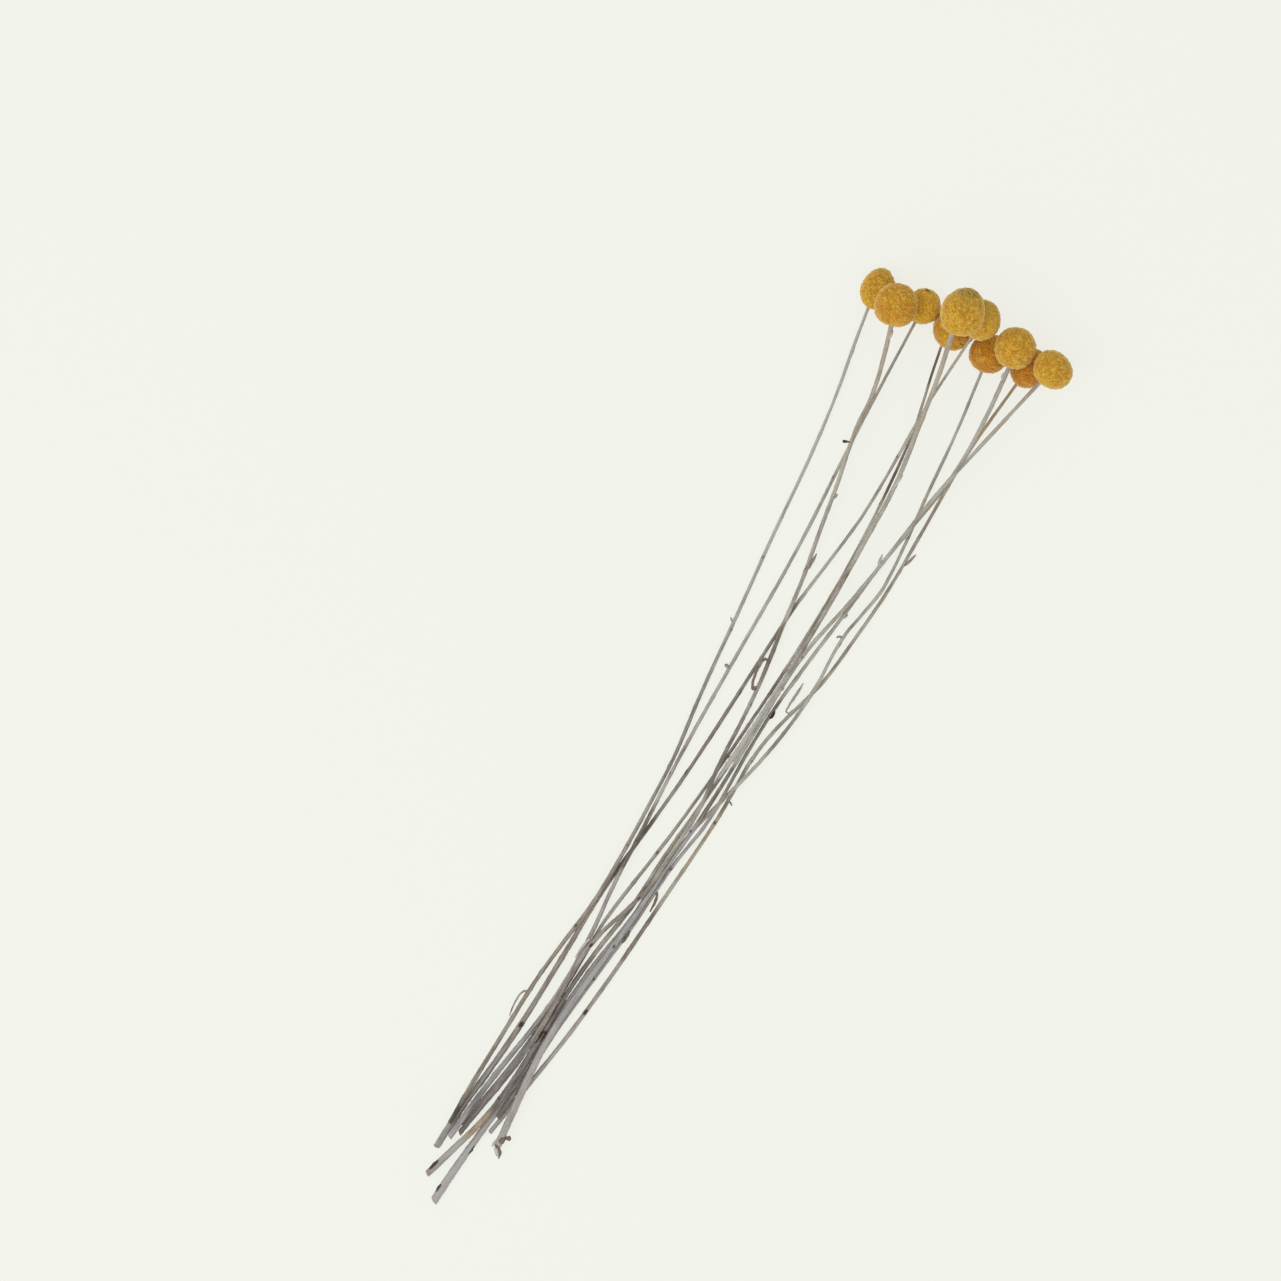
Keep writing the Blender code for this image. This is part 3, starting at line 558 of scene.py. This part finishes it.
def stem_finish(tone, settings):
    """Dry striped bark under the last of its pale wool, dark at the scars, with pith at a cut end."""
    finish = Finish(f"{tone} stem", {
        "Roughness": 0.8, "Specular IOR Level": 0.3, "Sheen Weight": 0.15, "Sheen Roughness": 0.5})
    wool, scar, cut = finish.parts("wear")
    cool, warm, dark = finish.parts("tint")
    # Each noise is drawn out along the stem
    grain = finish.vector("grain")
    streaks = finish.noise(finish.scaled(grain, (1.0, 1.0, 0.05)), 0.45 * MM, 3.0, 0.6)
    blotches = finish.noise(finish.scaled(grain, (1.0, 1.0, 0.3)), 2.5 * MM, 3.0, 0.6)
    specks = finish.noise(finish.scaled(grain, (1.0, 1.0, 0.35)), 0.3 * MM, 3.0, 0.7)
    # The bark with its bluish, golden and dark stretches, and darker streaks
    bark = finish.mix(cool, getattr(settings, tone), settings.cool)
    bark = finish.mix(warm, bark, settings.warm)
    bark = finish.mix(dark * finish.fade(blotches, 0.25, 0.5), bark, settings.dark)
    shade = finish.scaled(bark, (0.5, 0.5, 0.52))
    made = finish.mix(finish.fade(streaks, 0.36, 0.6), shade, bark)
    # The wool over it, then the scars and the pith
    felt = finish.fade(0.6 * blotches + 0.4 * streaks + 0.55 * wool - 0.5 * dark, 0.62, 0.95)
    felted = finish.mix(cool * 0.7, settings.wool, settings.cool)
    felted = finish.mix(warm * 0.6, felted, settings.warm)
    made = finish.mix(felt * finish.fade(specks, 0.2, 0.6), made, felted)
    made = finish.mix(finish.fade(scar + 0.5 * specks, 0.45, 0.8), made, settings.scar)
    made = finish.mix(cut * finish.fade(specks, 0.2, 0.6), made, settings.pith)
    finish.feed("Base Color", made)
    finish.bump(streaks + 0.5 * specks, 0.12 * MM, 0.7)
    return finish.material


def leaf_finish(settings):
    """Dried leaf, bract and torn bark, in brown and pale fibres."""
    finish = Finish("dried leaf", {"Roughness": 0.85, "Specular IOR Level": 0.25, "Sheen Weight": 0.1})
    wool, withered, _ = finish.parts("wear")
    grain = finish.vector("grain")
    fibres = finish.noise(finish.scaled(grain, (1.0, 1.0, 0.12)), 0.35 * MM, 3.0, 0.6)
    specks = finish.noise(grain, 0.5 * MM, 3.0, 0.7)
    made = finish.mix(finish.fade(fibres, 0.3, 0.6), settings.fibre, settings.husk)
    made = finish.mix(finish.fade(fibres + 0.7 * wool, 0.7, 1.15), made, settings.wool)
    made = finish.mix(finish.fade(specks + withered, 0.75, 1.25), made, settings.torn)
    finish.feed("Base Color", made)
    finish.bump(fibres + 0.5 * specks, 0.1 * MM, 0.7)
    return finish.material


def coordinates(mesh):
    """The mesh's vertices as rows of an array."""
    flat = np.empty(3 * len(mesh.vertices))
    mesh.vertices.foreach_get("co", flat)
    return flat.reshape(-1, 3)


def place_vertices(mesh, points):
    """Puts each vertex of the mesh at its point."""
    mesh.vertices.foreach_set("co", points.astype(np.float32).ravel())


def keep_vector(mesh, name, parts):
    """Stores three numbers for each vertex, which the materials read."""
    layer = mesh.attributes.new(name, "FLOAT_VECTOR", "POINT")
    layer.data.foreach_set("vector", np.column_stack(parts).astype(np.float32).ravel())


def add_piece(name, mesh, material, node=None):
    """The mesh as a smooth piece of the bunch, in place of a node if one is given."""
    piece = bpy.data.objects.new(name, mesh)
    bpy.context.scene.collection.objects.link(piece)
    mesh.materials.append(material)
    mesh.shade_smooth()
    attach(piece, "root")
    if node:
        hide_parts(node)
    return piece


def mesh_from(name, bm):
    """The bmesh as a new mesh."""
    mesh = bpy.data.meshes.new(name)
    bm.to_mesh(mesh)
    bm.free()
    return mesh


def joined(name, meshes):
    """The meshes as one new mesh. They are removed."""
    bm = bmesh.new()
    for mesh in meshes:
        bm.from_mesh(mesh)
        bpy.data.meshes.remove(mesh)
    return mesh_from(name, bm)


def smooth(stations, values, at):
    """A smooth line through the values that stand at the stations."""
    slope = np.gradient(values, stations, axis=0)
    i = np.clip(np.searchsorted(stations, at) - 1, 0, len(stations) - 2)
    step = (stations[i + 1] - stations[i])[:, None]
    t = (at - stations[i])[:, None] / step
    return (
        (2 * t**3 - 3 * t**2 + 1) * values[i]
        + (t**3 - 2 * t**2 + t) * step * slope[i]
        + (-2 * t**3 + 3 * t**2) * values[i + 1]
        + (t**3 - t**2) * step * slope[i + 1]
    )


@functools.lru_cache
def stem_sections(name):
    """The middles and radii of a stem's node where planes cut it, from its cut end to its top."""
    bm = bmesh.new()
    bm.from_mesh(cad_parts[name].data)
    bmesh.ops.remove_doubles(bm, verts=bm.verts, dist=1e-6)
    low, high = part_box(name)
    middles, radii = [], []
    # From the top down each section is the next to the last one, if nothing that grows widens it
    for along in np.arange(high.y - TOP_MARGIN, low.y + FOOT_MARGIN, -SECTION_STEP):
        cut = bm.copy()
        parts = cut.verts[:] + cut.edges[:] + cut.faces[:]
        bmesh.ops.bisect_plane(
            cut, geom=parts, dist=1e-7, plane_co=(0, along, 0), plane_no=(0, 1, 0),
            clear_inner=True, clear_outer=True)
        bmesh.ops.edgenet_fill(cut, edges=cut.edges)
        sections = [(np.array(f.calc_center_median_weighted()), f.calc_area()) for f in cut.faces]
        cut.free()
        if not sections:
            continue
        ahead = np.array([0.0, 1.0, 0.0])
        expected = sections[0][0]
        if len(middles) > 1:
            ahead = middles[-2] - middles[-1]
            expected = middles[-1] - ahead * (middles[-1][1] - along) / ahead[1]
        middle, area = min(sections, key=lambda section: np.linalg.norm(section[0] - expected))
        radius = math.sqrt(area * ahead[1] / np.linalg.norm(ahead) / HEXAGON)
        if radii and not 1 - SECTION_SLACK < radius / radii[-1] < 1 + SECTION_SLACK:
            continue
        middles.append(middle)
        radii.append(radius)
    bm.free()
    middles, radii = np.array(middles[::-1]), np.array(radii[::-1])
    # The line runs on to both ends
    foot = low.y if name != TORN_STEM else TORN_FOOT
    ends = []
    for end, first, second in ((foot, 0, 1), (high.y, -1, -2)):
        slope = (middles[first] - middles[second]) / (middles[first][1] - middles[second][1])
        ends.append(middles[first] + slope * (end - middles[first][1]))
    middles = np.vstack([ends[0], middles, ends[1]])
    return middles, np.array([radii[0], *radii, radii[-1]])


def head_form(name):
    """A head's middle, the direction from its stem to its tip, and its half width and half length."""
    low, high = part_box(name)
    middles, _ = stem_sections(name.replace("head", "stem"))
    axis = Vector(middles[-1] - middles[-2]).normalized()
    spread = (high - low) / 2
    # A tilted round body spreads by its width and a share of how much longer it is
    longer = (spread.y**2 - spread.x**2) / (axis.y**2 - axis.x**2)
    width = math.sqrt(spread.x**2 - longer * axis.x**2)
    rise = math.sqrt(width**2 + longer * axis.z**2)
    middle = Vector(((low.x + high.x) / 2, (low.y + high.y) / 2, high.z - rise))
    return middle, axis, width, math.sqrt(width**2 + longer)


def floret_shape():
    """One floret, as wide and as high as 1: a bud of seven sides with a small hollow in its top."""
    bm = bmesh.new()
    bmesh.ops.create_cone(
        bm, cap_ends=True, segments=7, radius1=0.48, radius2=0.62, depth=0.9,
        matrix=Matrix.Translation((0, 0, 0.15)))
    ends = sorted(bm.faces, key=lambda face: face.calc_center_median().z)
    bmesh.ops.inset_region(bm, faces=ends[-1:], thickness=0.22, depth=0.26)
    bmesh.ops.poke(bm, faces=ends[-1:], offset=-0.16)
    bmesh.ops.delete(bm, geom=ends[:1], context="FACES")
    return mesh_from("floret", bm)


def copies(mesh, count):
    """The mesh repeated in one mesh, with every copy in the same place."""
    pattern = bpy.data.objects.new("pattern", mesh)
    bpy.context.scene.collection.objects.link(pattern)
    array = pattern.modifiers.new("copies", "ARRAY")
    array.count = count
    array.use_relative_offset = False
    graph = bpy.context.evaluated_depsgraph_get()
    made = bpy.data.meshes.new_from_object(pattern.evaluated_get(graph))
    bpy.data.objects.remove(pattern)
    return made


def unevenness(points, size, rng):
    """Five slow waves over points in space, which add up to between about -1 and 1."""
    total = np.zeros(len(points))
    for _ in range(5):
        direction = rng.normal(size=3)
        direction /= np.linalg.norm(direction)
        total += np.sin(points @ direction * 2 * math.pi / size + rng.uniform(0, 2 * math.pi))
    return total / 3


def unevenness_along(along, size, rng):
    """The same along a line."""
    return unevenness(np.column_stack([along, 0 * along, 0 * along]), size, rng)


def across_skin(points, sizes):
    """The directions that point straight out of an egg of the given half sizes."""
    outward = points / sizes**2
    return outward / np.linalg.norm(outward, axis=1)[:, None]


def floret_places(name, look, width, long, pitch):
    """Where a head's florets stand on it, in a sunflower's order from its tip and clear of its stem."""
    count = round(2 * math.pi * width * (width + long) / (pitch**2 * math.sqrt(3) / 2))
    order = np.arange(count)
    tipward = 1 - (2 * order + 1) / count
    across = width * (1 - look.taper * tipward) * np.sqrt(1 - tipward * tipward)
    stem_radius = stem_sections(name.replace("head", "stem"))[1][-1]
    clear = (across > stem_radius + STEM_GAP * pitch) | (tipward > 0)
    across = across[clear]
    angle = order[clear] * GOLDEN_ANGLE
    return np.column_stack([across * np.cos(angle), across * np.sin(angle), long * tipward[clear]])


def head_core(look, sizes):
    """The core of a head as a mesh, and where its vertices go."""
    bm = bmesh.new()
    bmesh.ops.create_icosphere(bm, subdivisions=4, radius=1.0)
    mesh = mesh_from("core", bm)
    ball = coordinates(mesh)
    narrowed = 1 - look.taper * ball[:, 2]
    return mesh, ball * sizes * np.column_stack([narrowed, narrowed, np.ones(len(ball))])


def leaning_frames(outward, uneven, rng):
    """The three directions of each floret, which leans and turns a little its own way."""
    lean = outward + uneven * FLORET_LEAN * rng.normal(size=outward.shape)
    lean /= np.linalg.norm(lean, axis=1)[:, None]
    side = np.cross(lean, rng.normal(size=outward.shape))
    side /= np.linalg.norm(side, axis=1)[:, None]
    return np.stack([side, np.cross(lean, side), lean], axis=2)


def pressed(height):
    """Heights after the surface below has pressed them flat, softly."""
    return SOFTNESS * np.logaddexp(0.0, height / SOFTNESS)


def make_head(name, look, settings, floret, rng):
    """One head: florets in a sunflower's order on a felted core, pressed flat where it lies."""
    middle, axis, width, long = head_form(name)
    sizes = np.array([width, width, long])
    turn = np.array(Vector((0, 0, 1)).rotation_difference(axis).to_matrix())
    pitch = settings.floret_width
    points = floret_places(name, look, width, long, pitch)
    count = len(points)
    outward = across_skin(points, sizes)
    points += FLORET_SHIFT * settings.uneven * pitch * rng.normal(size=points.shape)
    core, ball = head_core(look, sizes)
    core_outward = across_skin(ball, sizes)

    # The core is out of round just as the florets on it are
    both = np.vstack([points, ball])
    lumps = settings.lumps * unevenness(both, LUMP_LENGTH, rng)
    lumps += settings.clumps * unevenness(both, CLUMP_LENGTH, rng)
    foot = points + outward * (lumps[:count] - settings.floret_height)[:, None]
    ball += core_outward * (lumps[count:] - CORE_DEPTH * settings.floret_height)[:, None]

    # Each floret is pressed out of round a little its own way, and a withered one is low
    frames = leaning_frames(outward, settings.uneven, rng)
    size = pitch * (1 + settings.uneven * rng.uniform(-WIDER, WIDER, (count, 2)))
    high = settings.floret_height * (1 + settings.uneven * rng.uniform(-LOWER, HIGHER, count))
    chance = rng.uniform(0, 1, count)
    for direction in WITHERED.get(name, []):
        spot = turn.T @ np.array(Vector(direction).normalized()) * sizes
        chance[np.linalg.norm(points - spot, axis=1) < WITHERED_REACH] = -1.0
    high[chance < 0] *= WITHERED_HEIGHT
    florets = copies(floret, count)
    shape = coordinates(florets).reshape(count, -1, 3)
    height = shape[..., 2].ravel()
    local = shape * np.column_stack([size, high])[:, None]
    spots = (foot[:, None] + np.einsum("nij,nvj->nvi", frames, local)).reshape(-1, 3)

    mesh = joined(name, [florets, core])
    every = np.vstack([spots, ball])
    there = every @ turn.T + np.array(middle)
    there[:, 2] = pressed(there[:, 2])
    place_vertices(mesh, there)
    corners = shape.shape[1]
    keep_vector(mesh, "floret", [
        np.append(np.repeat(chance, corners), np.full(len(ball), 0.5)),
        np.append(height, np.zeros(len(ball))),
        every[:, 2] / long,
    ])
    outward = np.vstack([np.repeat(outward, corners, axis=0), core_outward])
    keep_vector(mesh, "outward", [outward @ turn.T])
    add_piece(f"{name}_florets", mesh, floret_finish(name, look, settings), name)


def straight_tube(sides, rows):
    """A closed tube of radius 1 that stands from z = 0 to z = 1, cut into rows."""
    bm = bmesh.new()
    bmesh.ops.create_cone(
        bm, cap_ends=True, segments=sides, radius1=1.0, radius2=1.0, depth=1.0,
        matrix=Matrix.Translation((0, 0, 0.5)))
    upright = [e for e in bm.edges if abs(e.verts[0].co.z - e.verts[1].co.z) > 0.5]
    bmesh.ops.subdivide_edges(bm, edges=upright, cuts=rows - 1, use_grid_fill=True)
    return bm


def hollow_end(bm, depth):
    """Sinks the middle of the tube's lower end by the depth, as dried pith shrinks."""
    end = [f for f in bm.faces if all(abs(v.co.z) < 1e-6 for v in f.verts)]
    bmesh.ops.inset_region(bm, faces=end, thickness=0.28)
    bmesh.ops.inset_region(bm, faces=end, thickness=0.25, depth=-depth)
    bmesh.ops.poke(bm, faces=end)


def round_tube(unit, span):
    """How far round a straight tube its vertices lie, how far out, and how far along its span."""
    return np.arctan2(unit[:, 1], unit[:, 0]), np.hypot(unit[:, 0], unit[:, 1]), unit[:, 2] * span


def along_line(stations, line, at):
    """Points on a line with the directions to its side and over it."""
    near = 0.5 * MM
    points = smooth(stations, line, at)
    ahead = smooth(stations, line, at + near) - smooth(stations, line, at - near)
    ahead /= np.linalg.norm(ahead, axis=1)[:, None]
    side = np.cross(ahead, (0, 0, 1))
    side /= np.linalg.norm(side, axis=1)[:, None]
    return points, side, np.cross(side, ahead)


def node_places(name, length_mm, settings, rng):
    """Where a stem has its nodes, from the cut end, with the side and length of each scar."""
    places = [Scar(scar.along, math.radians(scar.side), scar.length) for scar in SCARS[name]]
    spacing = settings.node_spacing / MM
    at = rng.uniform(0.3, 1.0) * spacing
    while at < length_mm - 0.4 * spacing:
        if all(abs(at - place.along) > 0.4 * spacing for place in places):
            places.append(Scar(at, rng.uniform(0, 2 * math.pi), rng.uniform(1.0, 2.4)))
        at += rng.uniform(0.6, 1.4) * spacing
    return sorted(places)


def tones(name, along):
    """How bluish, golden and dark a stem is at each distance from its cut end."""
    parts = np.zeros((3, len(along)))
    for patch in PATCHES[name]:
        inside = np.minimum(along / MM - patch.start, patch.end - along / MM) / PATCH_FADE + 0.5
        amounts = np.outer([patch.cool, patch.warm, patch.dark], np.clip(inside, 0, 1))
        parts = np.maximum(parts, amounts)
    return parts


def stem_swelling(angle, spoke, along, places, settings, rng):
    """How far the bark stands out at each point, as a share of the radius, and how scarred it is."""
    twist = angle + rng.uniform(*TWIST) * along / TWIST_LENGTH
    ridges = np.cos(settings.ridges * twist) + 0.5 * np.cos((2 * settings.ridges - 3) * twist + 1)
    swell = settings.ridge_depth * ridges
    swell += THICKENING * unevenness_along(along, THICKENING_LENGTH, rng)
    swell += ROUGHNESS * rng.normal(size=len(along)) * (spoke > BARK)
    scar = np.zeros(len(along))
    for place in places:
        off = along / MM - place.along
        facing = np.clip(np.cos(angle - place.side), 0, 1)
        swell += np.exp(-((off / NODE_REACH) ** 2)) * (NODE_SWELLING + SCAR_SWELLING * facing)
        mark = np.clip(1.5 - np.abs(off / place.length) * 2, 0, 1) * facing**3
        swell -= SCAR_DEPTH * mark
        scar = np.maximum(scar, mark * min(1.0, place.length / FULL_SCAR))
    return swell, scar


def stem_jogs(along, places, span, settings, rng):
    """How far a stem is off its line, to its side and up. It runs straight from node to node."""
    knots = np.array([-PAST_END, *(place.along for place in places), span / MM + PAST_END]) * MM
    jogs = settings.kink * rng.uniform(-1, 1, (len(knots), 2))
    jogs[-2:] = 0
    return np.interp(along, knots, jogs[:, 0]), 0.5 * np.interp(along, knots, jogs[:, 1])


def make_stem(name, look, settings, material, rng):
    """One stem: ridged, kinked and swollen at its nodes, with a cut end."""
    middles, radii = stem_sections(name)
    stations = middles[:, 1]
    span = stations[-1] - stations[0]
    bm = straight_tube(settings.sides, round(span / settings.step))
    hollow_end(bm, PITH_DEPTH / span)
    mesh = mesh_from(name, bm)
    angle, spoke, along = round_tube(coordinates(mesh), span)
    radius = np.interp(stations[0] + along, stations, radii)
    pith = (along <= 0.5 * PITH_DEPTH) & (spoke < BARK)

    # The cut is a slanting one
    slant = rng.uniform(*CUT_SLANT)
    facing = rng.uniform(0, 2 * math.pi)
    near_end = np.clip(1 - along / (SLANT_REACH * radii[0]), 0, 1)
    along += slant * radius * spoke * np.cos(angle - facing) * near_end

    places = node_places(name, span / MM, settings, rng)
    swell, scar = stem_swelling(angle, spoke, along, places, settings, rng)
    wide = radius * (1 + swell) * spoke
    sideways, upward = stem_jogs(along, places, span, settings, rng)
    points, side, over = along_line(stations, middles, stations[0] + along)
    points += side * (wide * np.cos(angle) + sideways)[:, None]
    points += over * (wide * np.sin(angle) + upward)[:, None]
    points[:, 2] = np.maximum(points[:, 2], CLEARANCE)
    place_vertices(mesh, points)

    wool = np.interp(along / span, [0, 0.25, 0.5, 1], [look.foot, look.middle, look.middle, look.top])
    wool += WOOL_CHANGE * unevenness_along(along, WOOL_LENGTH, rng)
    shift = GRAIN_SHIFT * list(STEMS).index(name)
    keep_vector(mesh, "wear", [wool, scar, pith.astype(float)])
    keep_vector(mesh, "tint", tones(name, along))
    keep_vector(mesh, "grain", [
        radius * spoke * np.cos(angle), radius * spoke * np.sin(angle), along + shift])
    add_piece(f"{name}_bark", mesh, material, name)


def make_growth(stem, growth, settings, rng):
    """One dried leaf, bract, stub or torn lump on a stem, round at both ends, as a mesh."""
    middles, _ = stem_sections(stem)
    root = smooth(middles[:, 1], middles, middles[:1, 1] + growth.along * MM)[0]
    knots = np.array(growth.points) * MM
    line = root + knots[:, :3]
    stations = np.append(0, np.cumsum(np.linalg.norm(np.diff(line, axis=0), axis=1)))
    span = stations[-1]
    mesh = mesh_from(stem, straight_tube(settings.sides, max(6, round(span / settings.step))))
    unit = coordinates(mesh)
    angle, spoke, along = round_tube(unit, span)
    wide = np.maximum(smooth(stations, knots[:, 3:], along)[:, 0], THINNEST)
    # Each end is rounded off within its own half width
    for end, off in ((knots[0, 3], along), (knots[-1, 3], span - along)):
        wide *= np.sqrt(1 - np.clip(1 - (off + 0.1 * end) / (1.1 * end), 0, 1) ** 2)
    wide *= spoke
    around = np.column_stack([along, 2 * MM * unit[:, :2]])
    wide *= 1 + UNEVEN_EDGE * unevenness(around, UNEVEN_LENGTH, rng)
    points, side, over = along_line(stations, line, along)
    across = wide * np.cos(angle)
    lift = growth.flat * wide * np.sin(angle) + growth.fold * wide * np.cos(angle) ** 2
    points += side * across[:, None] + over * lift[:, None]
    points[:, 2] = np.maximum(points[:, 2], CLEARANCE)
    place_vertices(mesh, points)
    tips = np.clip(1 - np.minimum(along, span - along) / TIP_LENGTH, 0, 1)
    full = np.ones(len(unit))
    keep_vector(mesh, "wear", [growth.wool * full, growth.dark + TIP_DARK * tips, 0 * full])
    keep_vector(mesh, "grain", [across, lift, along + growth.along * MM])
    return mesh


def make_leaves(stem, growths, settings, material, rng):
    """All that grows on one stem, as one piece."""
    name = f"{stem}_leaves"
    mesh = joined(name, [make_growth(stem, growth, settings, rng) for growth in growths])
    add_piece(name, mesh, material)


def make_floor(settings):
    """A plain pale floor, a little under the bunch."""
    bm = bmesh.new()
    bmesh.ops.create_grid(bm, x_segments=1, y_segments=1, size=FLOOR_HALF)
    floor = bpy.data.objects.new("floor", mesh_from("floor", bm))
    floor.location.z = -FLOOR_DROP
    bpy.context.scene.collection.objects.link(floor)
    lit = tuple(part * (1 - settings.glow) for part in settings.floor)
    finish = Finish("pale floor", {
        "Base Color": (*lit, 1.0), "Roughness": 0.9, "Specular IOR Level": 0.1,
        "Emission Color": (*settings.floor, 1.0), "Emission Strength": settings.glow})
    floor.data.materials.append(finish.material)


def make_light(scene, settings):
    """Soft light from all round, and one large light high on the cut ends' side."""
    world = bpy.data.worlds.new("studio")
    world.use_nodes = True
    sky = world.node_tree.nodes["Background"]
    sky.inputs["Color"].default_value = (1.0, 1.0, 1.0, 1.0)
    sky.inputs["Strength"].default_value = settings.fill
    scene.world = world
    lamp = bpy.data.lights.new("key", "AREA")
    lamp.shape = "DISK"
    lamp.size = KEY_WIDTH
    lamp.energy = settings.key
    key = bpy.data.objects.new("key", lamp)
    key.location = KEY_PLACE
    key.rotation_euler = (-key.location).to_track_quat("-Z", "Y").to_euler()
    scene.collection.objects.link(key)


def make_camera(scene, settings):
    """A camera that looks straight down and shows the bunch leaning as it lies."""
    data = bpy.data.cameras.new("camera")
    data.lens = settings.lens
    camera = bpy.data.objects.new("camera", data)
    away = settings.seen_width * settings.lens / data.sensor_width
    camera.location = (settings.across, settings.along, settings.seen_height + away)
    camera.rotation_euler = (0, 0, settings.turn)
    data.clip_end = FARTHEST_SEEN
    scene.collection.objects.link(camera)
    scene.camera = camera
    scene.view_settings.view_transform = "Standard"


class BILLY_OT_heads(bpy.types.Operator):
    """Model the golden heads around their nodes"""

    bl_idname = "billy.heads"
    bl_label = "Golden heads"

    def execute(self, context):
        floret = floret_shape()
        for number, (name, look) in enumerate(HEADS.items()):
            rng = np.random.default_rng(HEAD_SEED + number)
            make_head(name, look, context.scene.billy_heads, floret, rng)
        return {"FINISHED"}


class BILLY_OT_stems(bpy.types.Operator):
    """Model the bare stems along their nodes"""

    bl_idname = "billy.stems"
    bl_label = "Bare stems"

    def execute(self, context):
        settings = context.scene.billy_stems
        kinds = sorted({look.tone for look in STEMS.values()})
        finishes = {kind: stem_finish(kind, settings) for kind in kinds}
        for number, (name, look) in enumerate(STEMS.items()):
            rng = np.random.default_rng(STEM_SEED + number)
            make_stem(name, look, settings, finishes[look.tone], rng)
        return {"FINISHED"}


class BILLY_OT_leaves(bpy.types.Operator):
    """Model the dried leaf scraps, the stubs and the torn end of the stems"""

    bl_idname = "billy.leaves"
    bl_label = "Leaf scraps"

    def execute(self, context):
        settings = context.scene.billy_leaves
        material = leaf_finish(settings)
        for number, (stem, growths) in enumerate(GROWTHS.items()):
            rng = np.random.default_rng(LEAF_SEED + number)
            make_leaves(stem, growths, settings, material, rng)
        return {"FINISHED"}


class BILLY_OT_stage(bpy.types.Operator):
    """Lay the floor and set the light and the camera"""

    bl_idname = "billy.stage"
    bl_label = "Floor, light and camera"

    def execute(self, context):
        scene = context.scene
        settings = scene.billy_stage
        make_floor(settings)
        make_light(scene, settings)
        make_camera(scene, settings)
        return {"FINISHED"}


class BILLY_PT_panel(bpy.types.Panel):
    """Lists the pieces of the bunch and their settings"""

    bl_label = "Billy Buttons"
    bl_idname = "BILLY_PT_panel"
    bl_space_type = "VIEW_3D"
    bl_region_type = "UI"
    bl_category = "Billy Buttons"

    def draw(self, context):
        for operator, settings in GROUPS:
            box = self.layout.box()
            box.operator(operator.bl_idname)
            group = getattr(context.scene, settings)
            for name in group.__annotations__:
                box.prop(group, name)


GROUPS = (
    (BILLY_OT_heads, "billy_heads"),
    (BILLY_OT_stems, "billy_stems"),
    (BILLY_OT_leaves, "billy_leaves"),
    (BILLY_OT_stage, "billy_stage"),
)
CLASSES = (
    HeadSettings, StemSettings, LeafSettings, StageSettings, BILLY_OT_heads, BILLY_OT_stems,
    BILLY_OT_leaves, BILLY_OT_stage, BILLY_PT_panel)


def register():
    """Makes the operators, their settings and the panel known."""
    for made in CLASSES:
        bpy.utils.register_class(made)
    bpy.types.Scene.billy_heads = PointerProperty(type=HeadSettings)
    bpy.types.Scene.billy_stems = PointerProperty(type=StemSettings)
    bpy.types.Scene.billy_leaves = PointerProperty(type=LeafSettings)
    bpy.types.Scene.billy_stage = PointerProperty(type=StageSettings)


def unregister():
    """Takes them away again."""
    for _, settings in GROUPS:
        delattr(bpy.types.Scene, settings)
    for made in reversed(CLASSES):
        bpy.utils.unregister_class(made)


def main():
    """Models the bunch and its stage."""
    register()
    bpy.ops.billy.heads()
    bpy.ops.billy.stems()
    bpy.ops.billy.leaves()
    bpy.ops.billy.stage()


if __name__ == "__main__":
    main()
